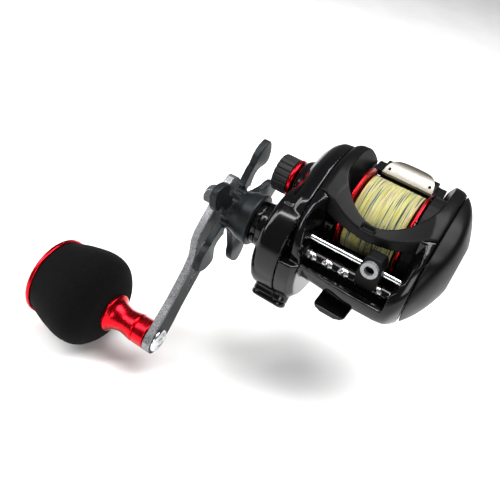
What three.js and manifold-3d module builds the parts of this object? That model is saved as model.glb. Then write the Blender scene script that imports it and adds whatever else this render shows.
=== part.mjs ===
// A low-profile baitcasting reel: die-cast frame with its foot, top cover, gear-side and palm-side plates,
// spool and level wind, clutch, gear train, star drag and a power handle with one large round knob.
// Millimetres. X is the spool axis, with the handle on the -X side. -Y is the front, where the line leaves,
// and +Z is up, away from the rod. The origin is on the underside of the reel foot.
import * as THREE from "three";
import { mergeVertices } from "three/addons/utils/BufferGeometryUtils.js";
import Module from "manifold-3d";

const wasm = await Module();
wasm.setup();

// ---- driving sizes ----
const gap = 0.3; // between fixed pieces that meet
const runGap = 0.25; // radial clearance of pieces that turn or slide
const spoolHeight = 25; // spool axis above the foot's underside

const spool = { rimRadius: 17.5, halfSpan: 12.8, rimThickness: 1.1, arborRadius: 9, lineRadius: 15.4 };
const spoolShaftRadius = 1.6;
const wall = { left: -24, right: 23.2, leftInner: -17, rightInner: 17.4 };
const frontLip = { y: -29.4, z: -11.6 };
const floorGap = 1.7; // from the spool's rims down to the frame's floor
const foot = { width: 13.5, front: -36, rear: 27, thickness: 2.6, flat: 8 };
const handleAxis = { y: -15.4, z: -16.6 };
const gears = { mainTeeth: 60, pinionTeeth: 10, idlerTeeth: 15, wormTeeth: 18 };
const mainGearX = [-31.2, -27.6];
const idlerX = [-27.0, -25.2];
const yokeX = [-25.6, -24.8];
const housing = { drumWall: 1.6, end: -35.6, plateEnd: -33.5, backDepth: 7.4 };
const port = { angle: 239, x0: -34, x1: -18.6, width: 7.6, lug: 2.4, cap: 2, screwX: -21.6, screwRadius: 1.9 };
const plateScrew = { y: -25.2, z: 4.6, radius: 1.6 };
const dial = { radius: 4.8, stem: 2.5, end: 32.7, slot: 0.5 };
const tensionKnob = { radius: 7.9, inner: -40.2, outer: -47.6 };
const driveShaftRadius = 3.2;
const handleBoss = { radius: 9.6, end: -41.4 };
const star = { arms: 5, tipRadius: 31.5, firstAngle: 68, hubRadius: 9.4, sleeveRadius: 11.3, inner: -44.4, outer: -58.4 };
const starBlade = { root: 4.6, neck: 3, paddle: 5.8, thickness: 3.2, lean: 1.9 };
const arm = { angle: 47.35, length: 63.2, width: 14.4, tail: 12, outer: -64.7, thickness: 3.7, crank: 4.3 };
const nut = { acrossFlats: 9, height: 5.4 };
const knob = {
  stemRadius: 6.2, waistRadius: 5.5, flareRadius: 8.4, ballRadius: 21.4, ballStart: -79.5, capRadius: 17.8,
  pinRadius: 2.2, pinHead: 5,
};
const knobEnd = -114.4;
const guideRod = { y: -25, z: -4, radius: 1.1 };
const worm = { y: -26.5, z: -10.6, radius: 2.6, groove: 0.55 };
const guideRing = { x: 7.4, y: -30.8, z: -1.1, radius: 3.3, bore: 1.8 };
const thumb = { halfWidth: 10.9, frontY: 16.2, rearY: 25.6, topZ: 11.7, blockHalfWidth: 14.9, rise: 4, depth: 4, travel: 3 };

// ---- materials ----
function paint(color, roughness, metalness) {
  return new THREE.MeshStandardMaterial({ color, roughness, metalness });
}
const glossBlack = paint(0x0b0b0d, 0.18, 0.1);
const satinBlack = paint(0x1b1c1e, 0.45, 0.2);
const matteBlack = paint(0x141415, 0.85, 0);
const redAnodised = paint(0xb3121d, 0.28, 0.9);
const steel = paint(0xb9bcc0, 0.25, 1);
const brass = paint(0xb58b3c, 0.3, 1);
const champagne = paint(0x8f8a80, 0.35, 0.9);
const ceramic = paint(0x4c4e52, 0.25, 0.1);
const braid = paint(0xd9d77a, 0.7, 0);
const carbon = paint(0x2a2b2d, 0.6, 0);
const bronze = paint(0x9a6a38, 0.5, 0.8);

// ---- solids ----
const axisBasis = {
  x: new THREE.Matrix4().makeBasis(
    new THREE.Vector3(0, 1, 0), new THREE.Vector3(0, 0, 1), new THREE.Vector3(1, 0, 0)),
};

// A closed three.js geometry as a manifold solid, turned face outwards.
function solid(geometry) {
  const bare = geometry.index ? geometry.toNonIndexed() : geometry.clone();
  bare.deleteAttribute("normal");
  bare.deleteAttribute("uv");
  const merged = mergeVertices(bare, 1e-4);
  const vertProperties = new Float32Array(merged.attributes.position.array);
  const triVerts = new Uint32Array(merged.index.array);
  const made = new wasm.Manifold(new wasm.Mesh({ numProp: 3, vertProperties, triVerts }));
  if (made.volume() >= 0) return made;
  const turned = triVerts.slice().reverse();
  return new wasm.Manifold(new wasm.Mesh({ numProp: 3, vertProperties, triVerts: turned }));
}

function unite(first, ...rest) {
  return rest.reduce((all, next) => all.add(next), first);
}

function cut(blank, ...tools) {
  return tools.reduce((left, tool) => left.subtract(tool), blank);
}

// A shape drawn in (y, z), extruded along X.
function extrudeX(shape, x0, x1, curveSegments = 12) {
  const geometry = new THREE.ExtrudeGeometry(shape, { depth: x1 - x0, bevelEnabled: false, curveSegments });
  geometry.applyMatrix4(axisBasis.x);
  geometry.translate(x0, 0, 0);
  return solid(geometry);
}

// A shape drawn in (x, y), extruded along Z.
function extrudeZ(shape, z0, z1, curveSegments = 12) {
  const geometry = new THREE.ExtrudeGeometry(shape, { depth: z1 - z0, bevelEnabled: false, curveSegments });
  geometry.translate(0, 0, z0);
  return solid(geometry);
}

// Turned about the X axis through (y, z). The profile is a closed list of [x, radius].
function turned(profile, y = 0, z = 0, segments = 24) {
  const closed = [...profile, profile[0]];
  const points = closed.map(([x, r]) => new THREE.Vector2(Math.max(r, 0), x));
  const geometry = new THREE.LatheGeometry(points, segments);
  geometry.rotateZ(-Math.PI / 2);
  geometry.translate(0, y, z);
  return solid(geometry);
}

function rod(radius, x0, x1, y = 0, z = 0, segments = 16) {
  return turned([[x0, 0], [x1, 0], [x1, radius], [x0, radius]].reverse(), y, z, segments);
}

function ring(outer, inner, x0, x1, y = 0, z = 0, segments = 24) {
  return turned([[x0, inner], [x0, outer], [x1, outer], [x1, inner]], y, z, segments);
}

function block(x0, x1, y0, y1, z0, z1) {
  const geometry = new THREE.BoxGeometry(x1 - x0, y1 - y0, z1 - z0);
  geometry.translate((x0 + x1) / 2, (y0 + y1) / 2, (z0 + z1) / 2);
  return solid(geometry);
}

// A closed skin over rings of equal point count, with a flat cap at each end.
function loft(rings) {
  const count = rings[0].length;
  const positions = rings.flat().flatMap((p) => [p.x, p.y, p.z]);
  const index = [];
  for (let k = 0; k + 1 < rings.length; k += 1) {
    for (let i = 0; i < count; i += 1) {
      const a = k * count + i;
      const b = k * count + ((i + 1) % count);
      index.push(a, b, a + count, b, b + count, a + count);
    }
  }
  const capEnd = (k, flip) => {
    const centre = rings[k].reduce((sum, p) => sum.add(p), new THREE.Vector3()).divideScalar(count);
    const at = positions.length / 3;
    positions.push(centre.x, centre.y, centre.z);
    for (let i = 0; i < count; i += 1) {
      const a = k * count + i;
      const b = k * count + ((i + 1) % count);
      index.push(...(flip ? [at, b, a] : [at, a, b]));
    }
  };
  capEnd(0, true);
  capEnd(rings.length - 1, false);
  const geometry = new THREE.BufferGeometry();
  geometry.setAttribute("position", new THREE.Float32BufferAttribute(positions, 3));
  geometry.setIndex(index);
  return solid(geometry);
}

const reel = new THREE.Group();
const mechanism = new THREE.Group(); // its origin is on the spool axis
mechanism.position.z = spoolHeight;
reel.add(mechanism);

function add(name, body, material) {
  const made = body.getMesh();
  const geometry = new THREE.BufferGeometry();
  geometry.setAttribute("position", new THREE.BufferAttribute(Float32Array.from(made.vertProperties), 3));
  geometry.setIndex(new THREE.BufferAttribute(Uint32Array.from(made.triVerts), 1));
  const mesh = new THREE.Mesh(geometry, material);
  mesh.name = name;
  mechanism.add(mesh);
}

// ---- the reel's side outline ----
const floorZ = -(spool.rimRadius + floorGap);
const baseZ = foot.thickness - spoolHeight; // underside of the frame, where the foot joins
const outlineCentre = { y: -4, z: -1.5 };
const outlinePoints = [
  [5, 20], [-6, 18.4], [-13.5, 14.8], [-19.5, 11], [-25, 7], [-30.3, -0.5], [-33.6, -8], [-34.6, -14],
  [-32.2, -19.6], [-25, baseZ], [-8, baseZ], [8, baseZ], [17, -18.6], [22.6, -11.6], [24.8, -3], [24.6, 6],
  [21.4, 13.6], [14.4, 18.6],
];
const outlineCurve = new THREE.SplineCurve(outlinePoints.concat([outlinePoints[0]])
  .map(([y, z]) => new THREE.Vector2(y, z)));
const outline = outlineCurve.getPoints(36).slice(0, -1);
const blendStiffness = 0.6; // per mm: how tightly a section turns from the outline to its limiting circle

// A section at x: the outline drawn in by inset, kept softly within a circle of radius cap.
function outlineRing(x, inset, cap) {
  return outline.map((p) => {
    const away = new THREE.Vector2(p.x - outlineCentre.y, p.y - outlineCentre.z);
    const reach = away.length() - inset;
    const k = blendStiffness;
    away.setLength(-Math.log(Math.exp(-k * reach) + Math.exp(-k * cap)) / k);
    return new THREE.Vector3(x, outlineCentre.y + away.x, outlineCentre.z + away.y);
  });
}

function outlineSolid(stations) {
  return loft(stations.map((station) => outlineRing(...station)));
}

// Stations along the spool axis: [x, inset, cap].
const wallStations = [[wall.left, 1.7, 30], [-22.6, 0.5, 30.6], [-17, 0, 32], [-9, 0, 33], [0, 0, 35.5], [8, 0, 42],
  [14.5, 0, 40], [17, 0, 37], [19.5, 0, 34.5], [21.5, 0.1, 31.5], [wall.right, 0.6, 29]];
const gearStations = [[wall.left - gap, 2.1, 29.5], [-27.8, 2.4, 29], [-30.9, 4.4, 27], [housing.plateEnd, 8, 24]];
const gearCavity = [[wall.left + 0.7, 4, 29], [-27.8, 4.2, 28], [-30, 6.2, 26], [-31.9, 10, 23]];
const palmStations = [[wall.right + gap, 0.6, 28.6], [25.5, 0.8, 25.6], [28, 1, 21.3], [30.2, 1, 16.6],
  [31.8, 1, 12.2], [32.7, 1, 9]];
const palmCavity = [[wall.right - 1, 2.6, 27], [24.1, 2.8, 24.4], [26.6, 3, 20.1], [28.8, 3, 15.4], [30.4, 3, 9]];

function polygon(points) {
  return new THREE.Shape(points.map(([a, b]) => new THREE.Vector2(a, b)));
}

// Region kept by the top cover, seen from the side; the frame keeps the rest.
const wide = 60;
const palmReach = 40;

function coverRegion(shift) {
  const shape = polygon([[-wide, 1 + shift], [-16, 1 + shift], [-10, 6.4 + shift], [wide, 6.4 + shift],
    [wide, wide], [-wide, wide]]);
  return extrudeX(shape, -wide, wide);
}

// Plan view of the cover's front edge: deepest at the middle of the bridge.
function coverFront(forward) {
  const shape = new THREE.Shape();
  shape.moveTo(-wide, wide);
  shape.lineTo(-wide, -13 - forward);
  shape.lineTo(wall.left, -17 - forward);
  shape.quadraticCurveTo(2, -27.5 - forward, wall.right, -16 - forward);
  shape.lineTo(wide, -13 - forward);
  shape.lineTo(wide, wide);
  return extrudeZ(shape, -wide, wide);
}

// The trough across the bridge, so that the line runs low over its middle.
function bridgeTrough() {
  const radius = 60;
  const geometry = new THREE.CylinderGeometry(radius, radius, 60, 96);
  geometry.translate(0, 0, radius);
  geometry.rotateX(Math.atan2(4, 6));
  geometry.translate(2, -18, 8.6);
  return solid(geometry);
}

// Opening over the spool: narrow at the rims and flared at the top.
function spoolOpening() {
  const ringAt = (z, halfWidth, front) => {
    const points = [];
    for (let k = 0; k <= 14; k += 1) {
      const t = Math.PI * (k / 14);
      points.push(new THREE.Vector3(-halfWidth * Math.cos(t), -4 - (front - 4) * Math.sin(t) ** 0.8, z));
    }
    points.push(new THREE.Vector3(halfWidth, wide, z), new THREE.Vector3(-halfWidth, wide, z));
    return points;
  };
  const rimHalf = spool.halfSpan + 0.9;
  return loft([ringAt(-1, rimHalf, 18.4), ringAt(7.5, rimHalf, 18.4), ringAt(20.5, rimHalf + 5.2, 17.8),
    ringAt(30, rimHalf + 7, 17.8)]);
}

// The window's flare, wider towards the front skin and towards the top.
// Each row: z, inner left and right, left and right at the front skin, y of the front skin there.
const flareRows = [
  [-11.3, -16.4, 16.2, -16.8, 16.5, -34.3], [-9, -17, 16.9, -17.7, 17.1, -33.8], [-4, -17, 17.4, -19, 18.9, -32],
  [0, -17, 17.8, -20, 20.3, -30.2], [6, -17.6, 19, -21.3, 22.2, -25.8], [12, -18.6, 20.3, -22.3, 23, -22],
  [22, -18.6, 20.3, -22.3, 23, -22],
];
const flareRoot = -19;

function windowFlare() {
  return loft(flareRows.map(([z, innerLeft, innerRight, outerLeft, outerRight, skin]) => {
    const reach = (-wide - flareRoot) / (skin - flareRoot);
    return [
      new THREE.Vector3(innerLeft, flareRoot, z),
      new THREE.Vector3(innerLeft + (outerLeft - innerLeft) * reach, -wide, z),
      new THREE.Vector3(innerRight + (outerRight - innerRight) * reach, -wide, z),
      new THREE.Vector3(innerRight, flareRoot, z),
    ];
  }));
}

// The frame's hollow, seen from the side: front lip, floor and rear.
function insideSolid(x0, x1) {
  const { y, z } = frontLip;
  return extrudeX(polygon([[-wide, z], [y, z - 1], [y + 1.8, z - 5.6], [-24, floorZ], [0, floorZ],
    [10.5, -17.2], [17.6, -10.6], [21.2, -2], [21.6, 6], [21.6, wide], [-wide, wide]]), x0, x1);
}

// Room for the thumb bar, down to where it ends up when pressed.
function thumbSlot() {
  const half = thumb.blockHalfWidth + 0.5;
  const low = thumb.topZ - thumb.depth - thumb.travel - gap;
  return block(-half, half, thumb.frontY - 3, wide, low, wide);
}

function frameAndCover() {
  const blank = outlineSolid(wallStations);
  const spoolWell = rod(spool.rimRadius + 0.7, -spool.halfSpan - 0.6, wall.right + 1, 0, 0, 32);
  const frameTop = coverRegion(0).intersect(coverFront(0));
  const shell = cut(blank, insideSolid(wall.leftInner, wall.rightInner), windowFlare(), frameTop, spoolWell);
  const leftBoss = rod(spool.rimRadius + 1.2, wall.leftInner - 1, -spool.halfSpan - 0.6, 0, 0, 32)
    .subtract(coverRegion(-gap));
  const pinionBore = rod(5.4, wall.left - 1, -spool.halfSpan, 0, 0, 20);
  const { y, z } = handleAxis;
  const shaftBore = rod(driveShaftRadius + runGap, wall.left - 1, wall.left + 4, y, z, 24);
  const rodBore = rod(guideRod.radius + 0.02, wall.leftInner - 2.5, wall.rightInner + 2.5, guideRod.y, guideRod.z, 20);
  const wormBore = rod(worm.radius + 1 + gap, wall.left - 1, wall.rightInner + 3, worm.y, worm.z, 28);
  const depth = housing.backDepth;
  const gearBack = turned([[wall.left, 0], [wall.left, drumRadius - 0.2], [wall.left + depth - 2, drumRadius - 0.7],
    [wall.left + depth, drumRadius - 3], [wall.left + depth, 0]], y, z, 36);
  const closed = cut(unite(gearBack, portLug(wall.left + 0.1, 0)), insideSolid(wall.left - 1, wall.rightInner),
    coverRegion(0));
  const frame = cut(unite(shell, leftBoss, closed), pinionBore, shaftBore, rodBore, wormBore, thumbSlot());
  add("frame", unite(frame, footSolid()), glossBlack);

  const region = coverRegion(gap).intersect(coverFront(-gap));
  const underside = rod(spool.rimRadius + 0.9, -spool.halfSpan - 0.9, spool.halfSpan + 0.9, 0, 0, 32);
  const bridgeBelly = extrudeX(polygon([[-wide, -wide], [-wide, 2.6], [-21.6, 2.6], [-17.8, 5.2], [-14, 5.2],
    [-14, -wide]]), wall.leftInner - 2, wall.rightInner + 2);
  const gripNotch = block(-3.2, 2.2, -21.6, -19.4, 6.4, 12);
  const cover = cut(blank.intersect(region), underside, spoolOpening(), bridgeTrough(), thumbSlot(), bridgeBelly,
    spoolWell, gripNotch);
  add("top_cover", cover, satinBlack);
}

// The foot is cast in one with the frame: a long saddle that the rod's seat clamps at both ends.
function footSolid() {
  const half = foot.width / 2;
  const flat = foot.flat / 2;
  const base = -spoolHeight;
  const section = (y, width, top) => [
    new THREE.Vector3(-flat * width, y, base), new THREE.Vector3(flat * width, y, base),
    new THREE.Vector3(half * width, y, base + 0.9), new THREE.Vector3(half * width, y, top),
    new THREE.Vector3(-half * width, y, top), new THREE.Vector3(-half * width, y, base + 0.9),
  ];
  const full = baseZ + 0.8;
  return loft([section(foot.front, 0.82, base + 1.9), section(foot.front + 1.6, 0.96, base + 2.2),
    section(-24, 1, full), section(14, 1, full), section(foot.rear - 4, 1, base + 2.2),
    section(foot.rear, 0.82, base + 1.4)]);
}

// ---- gear train ----
function gearShape(teeth, module, towards, toothThere) {
  const pitch = (2 * Math.PI) / teeth;
  const radius = (module * teeth) / 2;
  const root = radius - 1.15 * module;
  const tip = radius + 0.8 * module;
  const start = towards + (toothThere ? 0 : pitch / 2);
  const points = [];
  for (let k = 0; k < teeth; k += 1) {
    const mid = start + k * pitch;
    for (const [r, turn] of [[root, -0.3], [tip, -0.11], [tip, 0.11], [root, 0.3]]) {
      const a = mid + turn * pitch;
      points.push([r * Math.cos(a), r * Math.sin(a)]);
    }
  }
  return { shape: polygon(points), tip, root };
}

const centreDistance = Math.hypot(handleAxis.y, handleAxis.z);
const mainModule = (2 * centreDistance) / (gears.mainTeeth + gears.pinionTeeth);
const toSpool = Math.atan2(-handleAxis.z, -handleAxis.y);
const wormDistance = Math.hypot(worm.y - handleAxis.y, worm.z - handleAxis.z);
const wormModule = (2 * wormDistance) / (gears.idlerTeeth + gears.wormTeeth);
const toWorm = Math.atan2(worm.z - handleAxis.z, worm.y - handleAxis.y);
const mainGear = gearShape(gears.mainTeeth, mainModule, toSpool, true);
const pinionGear = gearShape(gears.pinionTeeth, mainModule, toSpool + Math.PI, false);
const idlerGear = gearShape(gears.idlerTeeth, wormModule, toWorm, true);
const wormGear = gearShape(gears.wormTeeth, wormModule, toWorm + Math.PI, false);
const drumRadius = mainGear.tip + 0.6 + housing.drumWall;

function at(body, y, z) {
  return body.translate([0, y, z]);
}

function gearTrain() {
  const { y, z } = handleAxis;
  const boreRadius = driveShaftRadius + 0.02;
  const main = at(extrudeX(mainGear.shape, mainGearX[0], mainGearX[1]), y, z);
  const recess = rod(mainGear.root - 2.2, mainGearX[0] - 1, mainGearX[0] + 1.6, y, z, 32);
  add("drive_gear", cut(main, recess, rod(boreRadius, -60, 0, y, z)), brass);
  const stackStart = mainGearX[0] + 1.6 - gap;
  const washerRadius = mainGear.root - 2.5;
  add("drag_washer", ring(washerRadius, boreRadius, stackStart - 1.1, stackStart, y, z, 32), carbon);
  const plateStart = stackStart - 1.1 - 0.1;
  add("drag_pressure_plate", ring(washerRadius - 0.5, boreRadius, plateStart - 1.1, plateStart, y, z, 32), steel);
  const idler = at(extrudeX(idlerGear.shape, idlerX[0], idlerX[1]), y, z);
  add("level_wind_drive_gear", cut(idler, rod(boreRadius, -60, 0, y, z)), satinBlack);

  const shaftEnd = arm.outer - 1 - nut.height + 1.4;
  const shaft = turned([[wall.left + 3.4, 0], [wall.left + 3.4, driveShaftRadius - 0.02], [-58, driveShaftRadius - 0.02],
    [-58, 2.6], [arm.outer - 0.6, 2.6], [arm.outer - 0.6, 2.1], [shaftEnd, 2.1], [shaftEnd, 0]], y, z, 16);
  add("drive_shaft", shaft, steel);

  const pinionTeeth = extrudeX(pinionGear.shape, mainGearX[0] - 1, yokeX[0] - 0.2);
  const pinionNeck = ring(pinionGear.root - 0.2, spoolShaftRadius + 0.2, mainGearX[1], yokeX[1] + 0.6, 0, 0, 16);
  const pinionHub = ring(4.4, spoolShaftRadius + 0.2, yokeX[1] + 0.3, yokeX[1] + 3.6, 0, 0, 16);
  const pinion = unite(pinionTeeth, pinionNeck, pinionHub).subtract(rod(spoolShaftRadius + 0.2, -60, 0, 0, 0, 16));
  add("pinion_gear", pinion, brass);
}

function gearHousing() {
  const { y, z } = handleAxis;
  const start = wall.left - gap;
  const shell = outlineSolid(gearStations);
  const drum = turned([[start, 0], [start, drumRadius], [housing.end + 3.2, drumRadius], [housing.end + 1.2, drumRadius - 0.7],
    [housing.end + 0.2, drumRadius - 2], [housing.end, drumRadius - 3.6], [housing.end, 0]], y, z, 36);
  const tensionBoss = turned([[start, 0], [start, 10.6], [housing.plateEnd, 10.6], [-36.4, 9.2], [-37.6, 8.2],
    [-37.6, 0]], 0, 0, 24);
  const tensionThread = rod(6.2, -44.8, -37, 0, 0, 32);
  const boss = turned([[start, 0], [start, 16], [housing.end - 0.2, 13.2], [housing.end - 1.6, handleBoss.radius + 1],
    [housing.end - 2.4, handleBoss.radius], [handleBoss.end, handleBoss.radius], [handleBoss.end, 0]], y, z, 32);
  const drumCavity = rod(drumRadius - housing.drumWall, start + 1, housing.end + housing.drumWall, y, z, 36);
  const spoolBore = rod(spoolShaftRadius + 0.6, -60, 0, 0, 0, 16);
  const bearingSeat = rod(5.02, -60, -36.4, 0, 0, 32);
  const pinionRoom = rod(pinionGear.tip + 0.7, -35.8, 0, 0, 0, 20);
  const clutchSeat = rod(8.22, -60, housing.end - 1.2, y, z, 32);
  const shaftWay = rod(driveShaftRadius + 0.6, -60, 0, y, z, 20);
  const screwRecess = rod(plateScrew.radius, -60, -28.6, plateScrew.y, plateScrew.z, 20);
  const cover = unite(shell, drum, tensionBoss, tensionThread, boss, portLug(-60, start));
  add("gear_side_cover", cut(cover, outlineSolid(gearCavity), drumCavity, spoolBore, bearingSeat, pinionRoom,
    clutchSeat, shaftWay, screwRecess), glossBlack);
  add("one_way_clutch", ring(8.2, driveShaftRadius + 0.1, handleBoss.end + 0.4, housing.end - 1.3, y, z, 32), steel);
  add("spool_bearing_handle_side", ring(5, spoolShaftRadius + 0.02, -39.4, -36.5, 0, 0, 32), steel);
  portParts();
}

// A rounded slot shape in (x, side).
function oval(x0, x1, width) {
  const half = width / 2;
  const shape = new THREE.Shape();
  shape.moveTo(x0 + half, -half);
  shape.lineTo(x1 - half, -half);
  shape.absarc(x1 - half, 0, half, -Math.PI / 2, Math.PI / 2);
  shape.lineTo(x0 + half, half);
  shape.absarc(x0 + half, 0, half, Math.PI / 2, 1.5 * Math.PI);
  return shape;
}

// The shape stood on the drum at the port's angle, from radius r0 to r1.
function onDrum(shape, r0, r1) {
  const geometry = new THREE.ExtrudeGeometry(shape, { depth: r1 - r0, bevelEnabled: false, curveSegments: 8 });
  geometry.translate(0, 0, r0);
  geometry.rotateX(-Math.PI / 2);
  return solid(geometry).rotate([port.angle, 0, 0]).translate([0, handleAxis.y, handleAxis.z]);
}

// The raised seat under the port's cap; the part of it between x0 and x1.
function portLug(x0, x1) {
  return onDrum(oval(port.x0, port.x1, port.width), drumRadius - 1.2, drumRadius + port.lug)
    .intersect(block(x0, x1, -wide, wide, -wide, wide));
}

function portParts() {
  const low = drumRadius + port.lug + gap;
  const high = low + port.cap;
  const { screwX, screwRadius } = port;
  const circle = (radius) => oval(screwX - radius, screwX + radius + 0.001, 2 * radius);
  const cap = onDrum(oval(port.x0, port.x1, port.width), low, high);
  const hole = onDrum(circle(screwRadius - 0.6), low - 1, high + 1);
  const seat = onDrum(circle(screwRadius + 0.3), high - 1, high + 1);
  add("port_cap", cut(cap, hole, seat), matteBlack);
  const head = onDrum(circle(screwRadius), high - 0.9, high + 0.4);
  const shank = onDrum(circle(screwRadius - 0.9), low, high - 0.5);
  add("port_screw", head.add(shank), steel);
}

// ---- spool ----
function spoolParts() {
  const { rimRadius, halfSpan, rimThickness, arborRadius, lineRadius } = spool;
  const flange = (side) => {
    const out = side * halfSpan;
    return [[out, rimRadius - 0.6], [out - side * 0.4, rimRadius], [out - side * rimThickness, rimRadius - 0.4],
      [out - side * (rimThickness + 0.5), rimRadius - 2.4], [out - side * (rimThickness + 2), arborRadius + 1.2]];
  };
  const left = flange(-1);
  const right = flange(1).reverse();
  const profile = [[-halfSpan, 2.6], ...left, [-halfSpan + 4.2, arborRadius], [halfSpan - 4.2, arborRadius],
    ...right, [halfSpan, 2.6]];
  const hub = turned(profile, 0, 0, 32);
  const dish = (side) => turned([[side * (halfSpan + 1), 4.4], [side * (halfSpan + 1), rimRadius - 1.8],
    [side * (halfSpan - 1), rimRadius - 3], [side * (halfSpan - 2), arborRadius], [side * (halfSpan - 2), 4.4]], 0, 0, 32);
  const bore = rod(spoolShaftRadius + 0.02, -40, 40, 0, 0, 16);
  const hubCore = ring(2.8, spoolShaftRadius + 0.02, -halfSpan, halfSpan, 0, 0, 16);
  add("spool", cut(hub.add(hubCore), dish(-1), dish(1), bore), redAnodised);
  const inner = halfSpan - rimThickness - 0.5;
  const line = turned([[-inner + 2.9, arborRadius + 0.3], [-inner + 2.4, arborRadius + 1.4], [-inner + 0.55, lineRadius],
    [inner - 0.55, lineRadius], [inner - 2.4, arborRadius + 1.4], [inner - 2.9, arborRadius + 0.3]], 0, 0, 32);
  add("line_winding", line, braid);
  const shaft = turned([[-44.4, 0], [-44.4, 1], [-43.6, spoolShaftRadius], [26.6, spoolShaftRadius], [27.2, 1],
    [27.2, 0]], 0, 0, 16);
  add("spool_shaft", shaft, steel);
  const rotor = turned([[halfSpan + 0.2, spoolShaftRadius + 0.02], [halfSpan + 0.2, 9.6], [halfSpan + 5, 9.6],
    [halfSpan + 5, 8.8], [halfSpan + 1.2, 8.8], [halfSpan + 1.2, spoolShaftRadius + 0.02]], 0, 0, 32);
  add("brake_rotor", rotor, steel);
}

// ---- palm side ----
function palmSide() {
  const start = wall.right + gap;
  const face = dial.end - 0.1;
  const dialSeat = rod(dial.radius + gap, face - 1, palmReach, 0, 0, 32);
  const dialBore = rod(dial.stem + gap, start, palmReach, 0, 0, 16);
  add("palm_side_plate", cut(outlineSolid(palmStations), outlineSolid(palmCavity), dialSeat, dialBore), satinBlack);
  const knob = unite(rod(dial.radius, face - 0.7, dial.end, 0, 0, 32), rod(dial.stem, face - 3.6, face - 0.6, 0, 0, 16));
  const coinSlot = block(dial.end - dial.slot, palmReach, -0.6, 0.6, -dial.radius + 0.8, dial.radius - 0.8);
  add("brake_dial", knob.subtract(coinSlot), satinBlack);
  const hub = spool.rimRadius + 0.4;
  const cup = turned([[spool.halfSpan + 0.9, 10.6], [spool.halfSpan + 0.9, hub], [start - gap, hub], [start - gap, 5.9],
    [start + 3.2, 5.9], [start + 3.2, 2.6], [start - 1.5, 2.6], [start - 1.5, 11.8], [wall.rightInner + 1, 11.8],
    [wall.rightInner + 1, 10.6]], 0, 0, 32);
  const bearingSeat = rod(4.52, start - 2, start + 2.9, 0, 0, 32);
  add("brake_housing", cut(cup, bearingSeat), matteBlack);
  add("spool_bearing_palm_side", ring(4.5, spoolShaftRadius + 0.02, start + 0.3, start + 2.7, 0, 0, 32), steel);
  add("brake_magnet_ring", ring(8.5, 6.6, spool.halfSpan + 1.6, start - 1.8, 0, 0, 28), steel);
}

// ---- level wind ----
function wormSolid(x0, x1) {
  const around = 12;
  const along = 40;
  const turns = 5;
  const rings = [];
  for (let k = 0; k <= along; k += 1) {
    const x = x0 + ((x1 - x0) * k) / along;
    const points = [];
    for (let i = 0; i < around; i += 1) {
      const a = (2 * Math.PI * i) / around;
      const lead = (2 * Math.PI * turns * k) / along;
      const near = Math.max(Math.cos(a - lead), Math.cos(a + lead + Math.PI));
      const edge = k === 0 || k === along;
      const r = worm.radius - (!edge && near > 0.72 ? worm.groove : 0);
      points.push(new THREE.Vector3(x, worm.y + r * Math.cos(a), worm.z + r * Math.sin(a)));
    }
    rings.push(points);
  }
  return loft(rings);
}

function levelWind() {
  const { y, z } = worm;
  add("guide_rod", rod(guideRod.radius, wall.leftInner - 2.4, wall.rightInner + 2.4, guideRod.y, guideRod.z, 20), steel);
  const x0 = wall.leftInner + 0.4;
  const x1 = wall.rightInner - 0.4;
  const journalLeft = rod(1.9, idlerX[0] - 0.5, x0 + 0.5, y, z, 16);
  const journalRight = rod(1.9, x1 - 0.5, wall.rightInner + 2.6, y, z, 16);
  add("worm_shaft", unite(wormSolid(x0, x1), journalLeft, journalRight), steel);
  const gear = at(extrudeX(wormGear.shape, idlerX[0], idlerX[1]), y, z);
  add("worm_gear", cut(gear, rod(1.92, -60, 0, y, z, 16)), satinBlack);
  const bushOuter = worm.radius + 1;
  add("worm_bush_left", ring(bushOuter, 1.9 + 0.1, wall.leftInner - 3.4, wall.leftInner - 0.2, y, z, 20), bronze);
  add("worm_bush_right", ring(bushOuter, 1.9 + 0.1, wall.rightInner + 0.2, wall.rightInner + 2.7, y, z, 20), bronze);
  lineGuide();
}

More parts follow.
